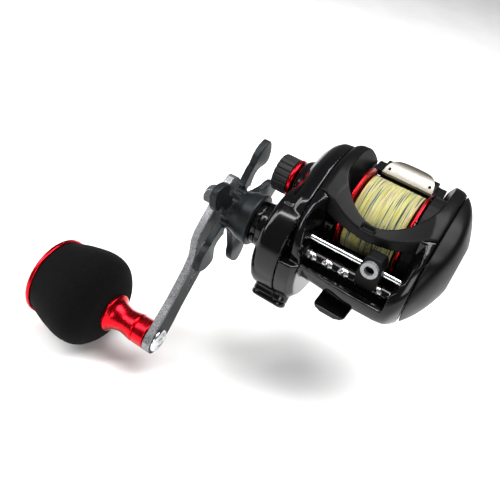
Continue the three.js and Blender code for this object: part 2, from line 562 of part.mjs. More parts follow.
function lineGuide() {
  const half = 4.4;
  const { x } = guideRing;
  const front = guideRing.y + 0.9;
  const side = new THREE.Shape();
  side.moveTo(-22.4, worm.z - 3.6);
  side.lineTo(-22.4, 1.2);
  side.quadraticCurveTo(-22.6, guideRing.z + guideRing.radius + 1, -25.4, guideRing.z + guideRing.radius + 1);
  side.lineTo(front + 0.8, guideRing.z + guideRing.radius + 0.9);
  side.lineTo(front, guideRing.z + guideRing.radius);
  side.lineTo(front, guideRing.z - guideRing.radius - 1);
  side.quadraticCurveTo(front + 0.2, worm.z, -29, worm.z - 1.6);
  side.quadraticCurveTo(-27.6, worm.z - 3.6, -25.6, worm.z - 3.8);
  side.lineTo(-24, worm.z - 3.8);
  side.closePath();
  let carriage = extrudeX(side, x - half, x + half, 8);
  const rounded = new THREE.Shape();
  rounded.absellipse(x, -4.5, half, 10.4, 0, 2 * Math.PI);
  const faceOval = solid(new THREE.ExtrudeGeometry(rounded, { depth: 40, bevelEnabled: false, curveSegments: 20 })
    .rotateX(Math.PI / 2)).translate([0, -10, -0.6]);
  carriage = carriage.intersect(faceOval);
  const rodWay = rod(guideRod.radius + 0.15, x - 9, x + 9, guideRod.y, guideRod.z, 20);
  const wormWay = rod(worm.radius + 0.3, x - 9, x + 9, worm.y, worm.z, 24);
  const eye = solid(new THREE.CylinderGeometry(guideRing.bore, guideRing.bore, 30, 24)).translate([x, -25, guideRing.z]);
  const ringSeat = solid(new THREE.CylinderGeometry(guideRing.radius + 0.05, guideRing.radius + 0.05, 4, 28))
    .translate([x, guideRing.y - 0.1, guideRing.z]);
  const pawlWay = solid(new THREE.CylinderGeometry(1.35, 1.35, 8, 20).rotateX(Math.PI / 2))
    .translate([x, worm.y, worm.z - 5.4]);
  add("line_guide_carriage", cut(carriage, rodWay, wormWay, eye, ringSeat, pawlWay), matteBlack);
  const ceramicProfile = [[-1.5, guideRing.bore], [-1.5, guideRing.radius - 0.5], [-1, guideRing.radius],
    [0.9, guideRing.radius], [0.9, guideRing.bore + 0.5], [0.4, guideRing.bore + 0.1]];
  const insert = turned(ceramicProfile, 0, 0, 32).rotate([0, 0, -90]).translate([x, guideRing.y + 0.2, guideRing.z]);
  add("line_guide_ring", insert, ceramic);
  const pawl = solid(new THREE.CylinderGeometry(1.2, 1.2, 1.1, 20).rotateX(Math.PI / 2))
    .translate([x, worm.y, worm.z - worm.radius - 0.85]);
  add("level_wind_pawl", pawl, steel);
}

// ---- clutch ----
function clutch() {
  const neck = pinionGear.root - 0.2;
  const plate = new THREE.Shape();
  plate.absellipse(0, 0, 6.6, 5.6, 0, 2 * Math.PI);
  const wings = extrudeX(plate, yokeX[0], yokeX[1], 10).add(block(yokeX[0], yokeX[1], -9.6, 9.6, -2, 2));
  add("clutch_yoke", wings.subtract(rod(neck + 0.25, -30, -20, 0, 0, 16)), steel);
  const { halfWidth, frontY, rearY, topZ, blockHalfWidth, rise, depth } = thumb;
  const blockTop = topZ - 0.3; // of the bar's ends, beside the plate
  const base = new THREE.Shape();
  base.moveTo(frontY - 0.6, topZ - 3.6);
  base.lineTo(frontY - 0.6, topZ - 0.5);
  base.quadraticCurveTo((frontY + rearY) / 2, topZ + rise + 0.4, rearY - 0.8, topZ + rise - 1.6);
  base.lineTo(rearY - 0.8, topZ - 2.4);
  base.lineTo(rearY - 3, topZ - 3.6);
  base.closePath();
  const bar = extrudeX(base, -blockHalfWidth, blockHalfWidth, 8);
  const plateCut = block(-halfWidth - 0.3, halfWidth + 0.3, 0, wide, topZ - 1.3, wide);
  const endCut = block(-wide, wide, 0, wide, blockTop, wide);
  const seat = new THREE.Shape();
  seat.moveTo(frontY - 0.6, topZ - depth);
  seat.lineTo(frontY - 0.6, topZ - 1.4);
  seat.quadraticCurveTo((frontY + rearY) / 2, topZ + rise - 0.6, rearY - 0.8, topZ + rise - 2.6);
  seat.lineTo(rearY - 0.8, topZ - depth);
  seat.closePath();
  const core = extrudeX(seat, -halfWidth - 0.3, halfWidth + 0.3, 8).intersect(bar);
  const pressWay = [0, thumb.travel].map((z) => rod(spool.rimRadius + 1.1, -wide, wide, 0, z, 48));
  add("thumb_bar", cut(cut(bar, plateCut, endCut).add(core), ...pressWay), matteBlack);
  const top = new THREE.Shape();
  top.moveTo(frontY - 0.6, topZ - 1);
  top.lineTo(frontY - 0.6, topZ);
  top.quadraticCurveTo((frontY + rearY) / 2, topZ + rise + 0.8, rearY, topZ + rise - 1.2);
  top.lineTo(rearY, topZ + rise - 2.1);
  top.quadraticCurveTo((frontY + rearY) / 2, topZ + rise - 0.2, frontY - 0.6, topZ - 1);
  const planShape = new THREE.Shape();
  planShape.moveTo(-halfWidth, frontY - 0.6);
  planShape.lineTo(halfWidth, frontY - 0.6);
  planShape.quadraticCurveTo(halfWidth * 0.8, rearY, 0, rearY);
  planShape.quadraticCurveTo(-halfWidth * 0.8, rearY, -halfWidth, frontY - 0.6);
  const plan = extrudeZ(planShape, 0, 40, 16);
  add("thumb_plate", extrudeX(top, -halfWidth, halfWidth, 10).intersect(plan), champagne);
}

// ---- spool tension cap ----
function tension() {
  const { radius, inner, outer } = tensionKnob;
  const ribs = 18;
  const ribShape = new THREE.Shape();
  for (let k = 0; k < 2 * ribs; k += 1) {
    const a = (Math.PI * (k + 0.5)) / ribs;
    const r = radius - (k % 2 ? 0.35 : 0);
    if (k) ribShape.lineTo(r * Math.cos(a), r * Math.sin(a));
    else ribShape.moveTo(r * Math.cos(a), r * Math.sin(a));
  }
  const grip = extrudeX(ribShape, outer, inner - gap);
  const dished = turned([[outer - 1, 0], [outer - 1, 5.6], [outer + 0.7, 5], [outer + 0.7, 0]], 0, 0, 32);
  const well = rod(6.2 + 0.3, -45.4, 0, 0, 0, 32);
  add("tension_knob", cut(grip, dished, well), matteBlack);
  add("tension_ring", turned([[inner, 6.5], [inner, radius + 0.2], [inner + 1.4, radius + 0.2], [inner + 2, radius - 1],
    [inner + 2, 6.5]], 0, 0, 32), redAnodised);
}

// ---- star drag and handle ----
function starDrag() {
  const { y, z } = handleAxis;
  const { arms, tipRadius, firstAngle, hubRadius, sleeveRadius, inner, outer } = star;
  const hub = turned([[inner, 0], [inner, sleeveRadius - 0.6], [inner - 0.8, sleeveRadius], [inner - 5.5, sleeveRadius - 0.8],
    [inner - 8, hubRadius], [outer, hubRadius - 1.6], [outer, 0]], 0, 0, 32);
  let body = hub;
  for (let k = 0; k < arms; k += 1) {
    const blade = starArm(hubRadius, tipRadius);
    body = body.add(blade.rotate([firstAngle + (k * 360) / arms, 0, 0]));
  }
  const bore = rod(driveShaftRadius + 0.3, outer - 1, inner + 1, 0, 0, 20);
  const skirt = rod(hubRadius - 0.6, inner - 2.6, inner + 1, 0, 0, 32);
  add("star_drag", at(cut(body, bore, skirt), y, z), satinBlack);
  const spring = turned([[-42.7, driveShaftRadius + 0.15], [-42.7, 7.2], [-43.4, 7.2], [-43.4, driveShaftRadius + 0.15]],
    y, z, 32);
  add("drag_spring_washer", spring, steel);
  const notches = 8;
  let click = ring(handleBoss.radius - 1.3, 7.4, -46.4, handleBoss.end - gap, y, z, 30)
    .add(ring(handleBoss.radius - 0.2, 7.4, -43.6, handleBoss.end - gap, y, z, 30));
  for (let k = 0; k < notches; k += 1) {
    const tooth = block(-43.9, -41, -0.9, 0.9, handleBoss.radius - 1.1, handleBoss.radius + 2)
      .rotate([(k * 360) / notches, 0, 0]).translate([0, y, z]);
    click = click.subtract(tooth);
  }
  add("click_ring", click, glossBlack);
}

// One blade of the star, pointing along +Y: a thick root, a narrow neck and a leaf-shaped paddle that
// leans in towards the reel. Each section is [share of the way out, half width, share of the lean].
function starArm(hubRadius, tipRadius) {
  const { root, neck, paddle, thickness, lean } = starBlade;
  const inner = star.inner - 8.6;
  const sections = [[-0.1, root, 1], [0.1, neck + 0.4, 1], [0.3, neck, 1], [0.44, neck + 0.4, 0.75],
    [0.54, paddle - 1, 0.2], [0.66, paddle, 0], [0.82, paddle - 1, 0], [0.94, neck, 0], [1, 1, 0]];
  return loft(sections.map(([share, half, leaned]) => {
    const r = hubRadius + (tipRadius - hubRadius) * share;
    const x = inner - lean * leaned;
    return [new THREE.Vector3(x - thickness, r, -half), new THREE.Vector3(x, r, -half),
      new THREE.Vector3(x, r, half), new THREE.Vector3(x - thickness, r, half)];
  }));
}

const armDirection = -(180 - arm.angle);
const armVector = {
  y: -Math.cos(THREE.MathUtils.degToRad(arm.angle)),
  z: -Math.sin(THREE.MathUtils.degToRad(arm.angle)),
};
const knobAxis = { y: handleAxis.y + arm.length * armVector.y, z: handleAxis.z + arm.length * armVector.z };
const armEndOuter = arm.outer + arm.crank;

function onHandle(body) {
  return body.rotate([armDirection, 0, 0]).translate([0, handleAxis.y, handleAxis.z]);
}

function handleParts() {
  const { length, width, tail, outer, thickness, crank } = arm;
  // Seen from the narrow side: [distance along the arm, x].
  const side = new THREE.Shape();
  const shift = [[-tail - 1, 0], [length * 0.26, 0], [length * 0.42, crank * 0.72], [length - 9, crank],
    [length + 9, crank]];
  side.setFromPoints(shift.map(([r, s]) => new THREE.Vector2(outer + s, r))
    .concat(shift.slice().reverse().map(([r, s]) => new THREE.Vector2(outer + s + thickness, r))));
  const profile = new THREE.ExtrudeGeometry(side, { depth: width + 4, bevelEnabled: false });
  profile.translate(0, 0, -(width + 4) / 2);
  const plan = new THREE.Shape();
  const half = width / 2;
  const end = half * 0.86;
  plan.moveTo(-tail, -half * 0.8);
  plan.lineTo(0, -half);
  plan.lineTo(length * 0.3, -half * 0.86);
  plan.lineTo(length * 0.75, -half * 0.7);
  plan.lineTo(length, -end);
  plan.absarc(length, 0, end, -Math.PI / 2, Math.PI / 2);
  plan.lineTo(length * 0.75, half * 0.7);
  plan.lineTo(length * 0.3, half * 0.86);
  plan.lineTo(0, half);
  plan.lineTo(-tail, half * 0.8);
  plan.closePath();
  const outlineBody = extrudeX(plan, outer - 1, outer + crank + thickness + 1, 10);
  const slot = new THREE.Shape();
  slot.moveTo(length * 0.3, -1.5);
  slot.lineTo(length * 0.62, -1.1);
  slot.absarc(length * 0.62, 0, 1.1, -Math.PI / 2, Math.PI / 2);
  slot.lineTo(length * 0.3, 1.5);
  slot.absarc(length * 0.3, 0, 1.5, Math.PI / 2, 1.5 * Math.PI);
  const slotBody = extrudeX(slot, outer - 2, outer + crank + thickness + 2, 8);
  const shaftHole = rod(2.65, outer - 1, outer + thickness + 1, 0, 0, 16);
  const pinHole = rod(2.3, outer, outer + crank + thickness + 1, length, 0, 24);
  const armBody = cut(solid(profile).intersect(outlineBody), slotBody, shaftHole, pinHole);
  add("handle_arm", onHandle(armBody), satinBlack);

  const { y, z } = handleAxis;
  const hexRadius = nut.acrossFlats / 2 / Math.cos(Math.PI / 6);
  add("nut_washer", ring(hexRadius + 0.5, 2.65, outer - 0.9, outer - 0.1, y, z, 32), redAnodised);
  const hexShape = new THREE.Shape();
  for (let k = 0; k < 6; k += 1) {
    const a = (k * Math.PI) / 3;
    const p = [hexRadius * Math.cos(a), hexRadius * Math.sin(a)];
    if (k) hexShape.lineTo(...p);
    else hexShape.moveTo(...p);
  }
  const nutStart = outer - 0.9 - 0.1;
  const nutEnd = nutStart - nut.height;
  const domed = turned([[nutStart, 0], [nutStart, hexRadius], [nutEnd + 2.2, hexRadius], [nutEnd + 1, nut.acrossFlats / 2],
    [nutEnd + 0.2, nut.acrossFlats * 0.32], [nutEnd, 0]], 0, 0, 32);
  const nutBody = extrudeX(hexShape, nutEnd, nutStart).intersect(domed)
    .subtract(rod(2.2, nutEnd + 0.6, nutStart + 1, 0, 0, 16));
  add("handle_nut", at(nutBody, y, z), steel);
}

function knobParts() {
  const { y, z } = knobAxis;
  const { stemRadius, waistRadius, flareRadius, ballRadius, ballStart, capRadius } = knob;
  const start = armEndOuter - gap;
  const armInner = armEndOuter + arm.thickness;
  const stem = turned([[start, 2.6], [start, stemRadius - 0.3], [start - 0.4, stemRadius], [start - 5, stemRadius],
    [start - 5.6, stemRadius - 0.9], [start - 6.2, stemRadius], [start - 7.4, stemRadius - 0.2], [start - 11, waistRadius],
    [ballStart + 4.6, waistRadius + 0.2], [ballStart + 1.4, flareRadius - 1.2], [ballStart, flareRadius],
    [ballStart - 0.9, flareRadius], [ballStart - 0.9, 4.6], [knobEnd + 4.4, 4.6], [knobEnd + 4.4, 2.6]], y, z, 30);
  add("knob_stem", stem, redAnodised);
  const ballEnd = knobEnd + 3.2;
  const shape = new THREE.SplineCurve([[ballStart - 1.2, flareRadius - 0.4], [ballStart - 3.4, 15.2],
    [ballStart - 8.2, ballRadius - 1.3], [ballStart - 14.5, ballRadius], [ballStart - 23, ballRadius - 1.5],
    [ballEnd, capRadius - 0.9]].map(([x, r]) => new THREE.Vector2(x, r))).getPoints(8).map((p) => [p.x, p.y]);
  const ball = turned([[ballStart - 1.2, 4.6 + 0.1], ...shape, [ballEnd, 4.6 + 0.1]], y, z, 32);
  add("knob_grip", ball, matteBlack);
  const capStart = ballEnd - 0.2;
  add("knob_cap", turned([[capStart, 0], [capStart, capRadius], [capStart - 1.6, capRadius], [knobEnd + 0.3, capRadius - 1.4],
    [knobEnd, capRadius - 3.4], [knobEnd, 0]], y, z, 32), redAnodised);
  const { pinRadius, pinHead } = knob;
  const headTop = armInner + 1.5;
  const pin = turned([[headTop, 0], [headTop, pinHead - 1.6], [headTop - 0.5, pinHead - 0.3], [headTop - 0.9, pinHead],
    [armInner + 0.1, pinHead], [armInner + 0.1, pinRadius], [knobEnd + 8, pinRadius], [knobEnd + 8, 0]], y, z, 24);
  add("knob_pin", pin, steel);
  add("knob_screw", turned([[knobEnd + 7.8, 0], [knobEnd + 7.8, 2.5], [knobEnd + 6.4, 2.5], [knobEnd + 6.4, 0]], y, z, 16), steel);
}

frameAndCover();
gearHousing();
gearTrain();
spoolParts();
palmSide();
levelWind();
clutch();
tension();
starDrag();
handleParts();
knobParts();

export default reel;
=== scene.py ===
import math
import random
from math import atan2, cos, exp, hypot, log, pi, radians, sin
import bmesh
import bpy
from mathutils import Matrix, Vector


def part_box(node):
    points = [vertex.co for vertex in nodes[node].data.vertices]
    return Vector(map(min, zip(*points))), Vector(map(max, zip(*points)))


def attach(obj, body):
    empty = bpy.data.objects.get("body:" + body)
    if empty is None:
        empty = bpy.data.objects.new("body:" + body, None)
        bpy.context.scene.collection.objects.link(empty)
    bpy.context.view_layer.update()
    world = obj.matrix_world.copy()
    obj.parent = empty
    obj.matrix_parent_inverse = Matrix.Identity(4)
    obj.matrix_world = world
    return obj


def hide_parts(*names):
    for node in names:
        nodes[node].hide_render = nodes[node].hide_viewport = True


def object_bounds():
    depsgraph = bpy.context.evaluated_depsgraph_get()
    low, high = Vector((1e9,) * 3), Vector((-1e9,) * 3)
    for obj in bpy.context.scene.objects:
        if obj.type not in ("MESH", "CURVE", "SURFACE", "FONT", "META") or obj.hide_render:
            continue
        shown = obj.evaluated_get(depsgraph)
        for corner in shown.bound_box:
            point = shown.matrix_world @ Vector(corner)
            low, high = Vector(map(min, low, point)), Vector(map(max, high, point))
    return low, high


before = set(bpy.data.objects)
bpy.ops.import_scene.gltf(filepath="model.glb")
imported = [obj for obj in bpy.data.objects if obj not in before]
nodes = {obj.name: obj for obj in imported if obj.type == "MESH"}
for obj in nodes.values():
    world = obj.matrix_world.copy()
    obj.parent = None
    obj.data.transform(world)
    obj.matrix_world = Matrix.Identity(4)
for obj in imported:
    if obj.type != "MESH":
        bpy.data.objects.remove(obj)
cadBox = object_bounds()
mm = 0.001


# measures taken from the frame, in mm, with the spool axis at y = z = 0
def rawBox(node):
    low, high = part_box(node)
    return [low[i] / mm for i in range(3)] + [high[i] / mm for i in range(3)]


spoolRaw = rawBox("spool")
spoolHeight = (spoolRaw[2] + spoolRaw[5]) / 2


def box(node):  # x0, x1, y0, y1, z0, z1
    x0, y0, z0, x1, y1, z1 = rawBox(node)
    return x0, x1, y0, y1, z0 - spoolHeight, z1 - spoolHeight


def roundSize(node):  # a turned piece: x0, x1, radius, centre y, centre z
    x0, x1, y0, y1, z0, z1 = box(node)
    return x0, x1, (y1 - y0) / 2, (y0 + y1) / 2, (z0 + z1) / 2


handleY, handleZ = roundSize("one_way_clutch")[3:]
knobY, knobZ = roundSize("knob_cap")[3:]
print("frame read: spool axis", round(spoolHeight, 2), "mm above the foot")


# mesh tools
def makeObject(name, points, faces):
    mesh = bpy.data.meshes.new(name)
    mesh.from_pydata([(x * mm, y * mm, (z + spoolHeight) * mm) for x, y, z in points], [], faces)
    mesh.validate()
    piece = bpy.data.objects.new(name, mesh)
    bpy.context.scene.collection.objects.link(piece)
    work = bmesh.new()
    work.from_mesh(mesh)
    bmesh.ops.remove_doubles(work, verts=work.verts, dist=1e-7)
    bmesh.ops.recalc_face_normals(work, faces=work.faces)
    work.to_mesh(mesh)
    work.free()
    return piece


def loft(name, rings):  # a closed skin over rings of equal count
    count = len(rings[0])
    points = [p for ring in rings for p in ring]
    faces = []
    for k in range(len(rings) - 1):
        for i in range(count):
            a, b = k * count + i, k * count + (i + 1) % count
            faces.append((a, b, b + count, a + count))
    faces.append(tuple(reversed(range(count))))
    faces.append(tuple(range((len(rings) - 1) * count, len(rings) * count)))
    return makeObject(name, points, faces)


def turned(name, profile, y=0.0, z=0.0, around=128):  # closed profile of (x, radius), about X
    points, faces, starts = [], [], []
    for x, r in profile:
        starts.append(len(points))
        if r < 1e-6:
            points.append((x, y, z))
        else:
            for i in range(around):
                a = 2 * pi * i / around
                points.append((x, y + r * cos(a), z + r * sin(a)))
    for k in range(len(profile)):
        n = (k + 1) % len(profile)
        flatK, flatN = profile[k][1] < 1e-6, profile[n][1] < 1e-6
        for i in range(around):
            j = (i + 1) % around
            if flatK and flatN:
                continue
            if flatK:
                faces.append((starts[k], starts[n] + i, starts[n] + j))
            elif flatN:
                faces.append((starts[k] + i, starts[k] + j, starts[n]))
            else:
                faces.append((starts[k] + i, starts[k] + j, starts[n] + j, starts[n] + i))
    return makeObject(name, points, faces)


def slabX(name, outline, x0, x1):  # an outline in (y, z), extruded along X
    return loft(name, [[(x0, y, z) for y, z in outline], [(x1, y, z) for y, z in outline]])


def slabZ(name, outline, z0, z1):  # an outline in (x, y), extruded along Z
    return loft(name, [[(x, y, z0) for x, y in outline], [(x, y, z1) for x, y in outline]])


def blockOf(name, x0, x1, y0, y1, z0, z1):
    return slabX(name, [(y0, z0), (y1, z0), (y1, z1), (y0, z1)], x0, x1)


def turnAbout(piece, degrees, y, z):  # about an X line through (y, z)
    pivot = Vector((0, y * mm, (z + spoolHeight) * mm))
    spin = Matrix.Translation(pivot) @ Matrix.Rotation(radians(degrees), 4,
            "X") @ Matrix.Translation(-pivot)
    piece.data.transform(spin)
    return piece


def applyModifiers(piece):
    view = bpy.context.evaluated_depsgraph_get()
    view.update()
    finished = bpy.data.meshes.new_from_object(piece.evaluated_get(view))
    piece.modifiers.clear()
    piece.data = finished
    return piece


def combine(piece, tools, operation="DIFFERENCE"):
    for tool in tools:
        step = piece.modifiers.new("step", "BOOLEAN")
        step.operation = operation
        step.solver = "EXACT"
        step.object = tool
        applyModifiers(piece)
        bpy.data.objects.remove(tool, do_unlink=True)
    return piece


def soften(piece, width, segments=3, angle=28):  # rounds every real edge by width mm
    work = bmesh.new()
    work.from_mesh(piece.data)
    bmesh.ops.remove_doubles(work, verts=work.verts, dist=2e-6)
    bmesh.ops.dissolve_degenerate(work, dist=1e-6, edges=work.edges)
    work.to_mesh(piece.data)
    work.free()
    edge = piece.modifiers.new("edge", "BEVEL")
    edge.width = width * mm
    edge.segments = segments
    edge.limit_method = "ANGLE"
    edge.angle_limit = radians(angle)
    edge.use_clamp_overlap = True
    edge.harden_normals = False
    return applyModifiers(piece)


def smooth(piece, angle=32):
    for face in piece.data.polygons:
        face.use_smooth = True
    piece.data.set_sharp_from_angle(angle=radians(angle))
    if angle < 90:
        even = piece.modifiers.new("even", "WEIGHTED_NORMAL")
        even.keep_sharp = True
        even.weight = 60
        applyModifiers(piece)
    return piece


def onCurve(p0, p1, p2, p3, t):  # Catmull-Rom, between p1 and p2
    return tuple(0.5 * (2 * p1[c] + (p2[c] - p0[c]) * t + (2 * p0[c] - 5 * p1[c]
            + 4 * p2[c] - p3[c]) * t * t + (3 * p1[c] - p0[c] - 3 * p2[c] + p3[c]) * t ** 3)
            for c in range(2))


def splineLoop(points, steps):  # closed curve through points
    out = []
    count = len(points)
    for k in range(count):
        p0, p1, p2, p3 = (points[(k + j - 1) % count] for j in range(4))
        for s in range(steps):
            out.append(onCurve(p0, p1, p2, p3, s / steps))
    return out


def curveThrough(points, steps):  # open curve through points
    ends = [points[0]] + list(points) + [points[-1]]
    out = []
    for k in range(1, len(ends) - 2):
        p0, p1, p2, p3 = ends[k - 1:k + 3]
        for s in range(steps):
            out.append(onCurve(p0, p1, p2, p3, s / steps))
    out.append(points[-1])
    return out


def bend(p0, p1, p2, steps=10):  # quadratic curve, its end left for the next stretch
    return [tuple((1 - t) ** 2 * p0[c] + 2 * t * (1 - t) * p1[c] + t * t * p2[c] for c in range(2))
            for t in (s / steps for s in range(steps))]


def arc(cx, cy, radius, start, stop, steps=16):
    return [(cx + radius * cos(a), cy + radius * sin(a)) for a in (start + (stop - start) * s / steps
            for s in range(steps + 1))]


def roundCorners(profile, radius, closed=True, steps=3):  # fillets on an (x, radius) profile
    out = []
    count = len(profile)
    for k, point in enumerate(profile):
        before, after = Vector(profile[k - 1]), Vector(profile[(k + 1) % count])
        here = Vector(point)
        if point[1] < 1e-6:
            out.append(tuple(here))
            continue
        a, b = before - here, after - here
        if a.length < 1e-6 or b.length < 1e-6:
            continue
        reach = min(radius, a.length * 0.45, b.length * 0.45)
        start, stop = here + a.normalized() * reach, here + b.normalized() * reach
        for s in range(steps + 1):
            t = s / steps
            out.append(tuple((1 - t) ** 2 * start + 2 * t * (1 - t) * here + t * t * stop))
    return out


# materials
def fromHex(code):  # sRGB hex to linear RGBA
    parts = [int(code[i:i + 2], 16) / 255 for i in (0, 2, 4)]
    return tuple(c / 12.92 if c <= 0.04045 else ((c + 0.055) / 1.055) ** 2.4 for c in parts) + (1.0,)


def addNode(tree, kind, settings=(), links=()):
    node = tree.nodes.new(kind)
    for key, value in dict(settings).items():
        if key in node.inputs:
            node.inputs[key].default_value = value
        else:
            setattr(node, key, value)
    for key, source in dict(links).items():
        tree.links.new(source, node.inputs[key])
    return node


def perMetre(size):  # texture scale for a feature of that many mm
    return 1.0 / (size * mm)


# each look has its shader's settings and its patterns: kind, feature size in mm, settings, scale across X;
# then colour stops over a pattern, roughness over a pattern's range, and bump as strength and depth in mm
looks = {
    # gloss black lacquer over a die casting: deep black, sharp highlights, the faintest orange peel
    "blackLacquer": {
        "shader": {"IOR": 1.5, "Specular IOR Level": 0.2, "Coat Weight": 0.14, "Coat Roughness": 0.03,
        "Coat IOR": 1.5},
        "patterns": {"peel": ("Noise", 1.6, {"Detail": 2.0}, 1), "dust": ("Noise", 0.35, {"Detail": 3.0},
        1)},
        "colour": ("dust", (0.35, "030304"), (0.65, "070708")),
        "rough": ("dust", 0.3, 0.7, 0.1, 0.17), "bump": ("peel", 0.05, 0.02)},
    # satin black paint with a little metal in it: soft wide highlights and a fine grain
    "satinPaint": {
        "shader": {"IOR": 1.5, "Specular IOR Level": 0.1},
        "patterns": {"grain": ("Noise", 0.22, {"Detail": 3.0}, 1), "patch": ("Noise", 9, {"Detail": 2.0},
        1)},
        "colour": ("grain", (0.35, "040405"), (0.65, "09090a")),
        "rough": ("patch", 0.3, 0.7, 0.34, 0.42), "bump": ("grain", 0.12, 0.02)},
    # black anodised aluminium with a bead-blasted face: even satin metal, its light areas a cool dark grey
    "blackAnodised": {
        "shader": {"Metallic": 0.7, "Specular IOR Level": 0.3},
        "patterns": {"grain": ("Noise", 0.2, {"Detail": 4.0}, 1)},
        "colour": ("grain", (0.35, "1a1d1e"), (0.65, "262a2c")),
        "rough": ("grain", 0.3, 0.7, 0.4, 0.5), "bump": ("grain", 0.15, 0.02)},
    # moulded black nylon: matte with a fine spark-eroded texture
    "mouldedNylon": {
        "shader": {"IOR": 1.53, "Specular IOR Level": 0.1},
        "patterns": {"grain": ("Voronoi", 0.3, {}, 1)},
        "colour": ("grain", (0.1, "040404"), (0.8, "070708")),
        "rough": ("grain", 0.0, 0.8, 0.42, 0.6), "bump": ("grain", 0.2, 0.03)},
    # black elastomer sleeve: dark, very matte, finely speckled
    "ribbedRubber": {
        "shader": {"IOR": 1.52, "Specular IOR Level": 0.35},
        "patterns": {"speck": ("Noise", 0.25, {"Detail": 4.0}, 1)},
        "colour": ("speck", (0.35, "060505"), (0.65, "0f0d0e")),
        "rough": ("speck", 0.3, 0.7, 0.62, 0.8), "bump": ("speck", 0.35, 0.05)},
    # moulded EVA foam with its skin ground off: soft charcoal black, tiny open cells, a faint bloom of light
    "evaFoam": {
        "shader": {"IOR": 1.45, "Specular IOR Level": 0.08, "Roughness": 0.95, "Sheen Weight": 0.01,
        "Sheen Roughness": 0.6},
        "patterns": {"cells": ("Voronoi", 0.55, {}, 1), "cloud": ("Noise", 3.5, {"Detail": 5.0,
        "Roughness": 0.7}, 1)},
        "product": ("cells", "cloud"),
        "colour": ("product", (0.05, "020202"), (0.4, "070707")), "bump": ("cells", 0.5, 0.09)},
    # turned aluminium dyed red in its oxide skin: bright saturated red metal with fine turning marks
    "anodisedRed": {
        "shader": {"Metallic": 1.0},
        "patterns": {"marks": ("Noise", 0.18, {"Detail": 3.0}, 0.06)},
        "colour": ("marks", (0.35, "b80f1c"), (0.65, "cc1723")),
        "rough": ("marks", 0.3, 0.7, 0.2, 0.32), "bump": ("marks", 0.02, 0.005)},
    # ground and polished stainless steel: neutral mirror streaked along its turning marks
    "polishedSteel": {
        "shader": {"Metallic": 1.0},
        "patterns": {"marks": ("Noise", 0.12, {"Detail": 3.0}, 0.06)},
        "colour": ("marks", (0.35, "b4b6b9"), (0.65, "d9dadc")),
        "rough": ("marks", 0.3, 0.7, 0.14, 0.26), "bump": ("marks", 0.06, 0.008)},
    # bright chrome plating: a hard mirror, barely clouded
    "chromePlate": {
        "shader": {"Metallic": 1.0},
        "patterns": {"cloud": ("Noise", 1.2, {"Detail": 3.0}, 1)},
        "colour": ("cloud", (0.35, "cfd1d4"), (0.65, "e6e7e9")), "rough": ("cloud", 0.3, 0.7, 0.05, 0.1)},
    # sheet metal with a warm grey satin plating: blurred reflections and tiny pits
    "satinNickel": {
        "shader": {"Metallic": 1.0},
        "patterns": {"pits": ("Voronoi", 1.4, {}, 1), "grain": ("Noise", 0.3, {"Detail": 4.0}, 1)},
        "colour": ("grain", (0.35, "77726b"), (0.65, "8f8a82")),
        "rough": ("grain", 0.3, 0.7, 0.36, 0.46), "bump": ("pits", 0.1, 0.02)},
    # black aluminium cut back to bare grey on its narrow sides: sparkling grey grain
    "machinedEdge": {
        "shader": {"Metallic": 0.85},
        "patterns": {"grain": ("Noise", 0.5, {"Detail": 6.0, "Roughness": 0.8}, 1)},
        "colour": ("grain", (0.38, "454648"), (0.66, "a8a9ab")),
        "rough": ("grain", 0.3, 0.7, 0.3, 0.48), "bump": ("grain", 0.3, 0.03)},
    # hobbed brass gear blank: yellow metal, slightly dulled
    "cutBrass": {
        "shader": {"Metallic": 1.0},
        "patterns": {"marks": ("Noise", 0.2, {"Detail": 3.0}, 0.06)},
        "colour": ("marks", (0.35, "a98238"), (0.65, "c9a352")), "rough": ("marks", 0.3, 0.7, 0.25, 0.4)},
    # woven carbon disc: dark, with a checker of fibre bundles
    "carbonCloth": {
        "shader": {"IOR": 1.5},
        "patterns": {"weave": ("Checker", 1.5, {}, 1)},
        "colour": ("weave", (0, "303134"), (1, "1b1b1d")), "rough": ("weave", 0, 1, 0.45, 0.6)},
    # fired grey ceramic: smooth and glassy, evenly dark
    "zirconia": {
        "shader": {"IOR": 1.9, "Coat Weight": 0.3, "Coat Roughness": 0.05},
        "patterns": {"cloud": ("Noise", 0.8, {"Detail": 3.0}, 1)},
        "colour": ("cloud", (0.35, "55565a"), (0.65, "6b6d71")), "rough": ("cloud", 0.3, 0.7, 0.12,
        0.22)},
    # braided polyethylene line: pale yellow in itself, metre-marked with bluish and pink stretches; here its
    # yellow is dulled to olive and its dark stretches around the spool are painted shade, for the shadow the
    # line lies in and the shade between its turns
    "braidedLine": {
        "shader": {"IOR": 1.5, "Specular IOR Level": 0.4, "Roughness": 0.55, "Sheen Weight": 0.15},
        "patterns": {"turns": ("Noise", 0.62, {"Detail": 1.0, "Roughness": 0.4}, 0.035),
                     "strands": ("Wave", 1.3, {"Distortion": 2.0, "bands_direction": "DIAGONAL"}, 1)},
        # the dark stops and the olive yellows below are painted shade
        "colour": ("turns", (0.0, "20242a"), (0.34, "23272c"), (0.38, "56706e"), (0.43, "8f8c50"), (0.5,
        "9e9a44"),
                   (0.57, "aaa676"), (0.62, "937a70"), (0.66, "84803c")),
        "bump": ("strands", 0.3, 0.03)},
    # pale matte card: a clean floor with the faintest mottle
    "paleCard": {
        "shader": {"Roughness": 0.9, "Specular IOR Level": 0.1},
        "patterns": {"fibre": ("Noise", 40, {"Detail": 2.0}, 1)},
        "colour": ("fibre", (0.35, "f6f6f5"), (0.65, "fbfbfa"))},
}


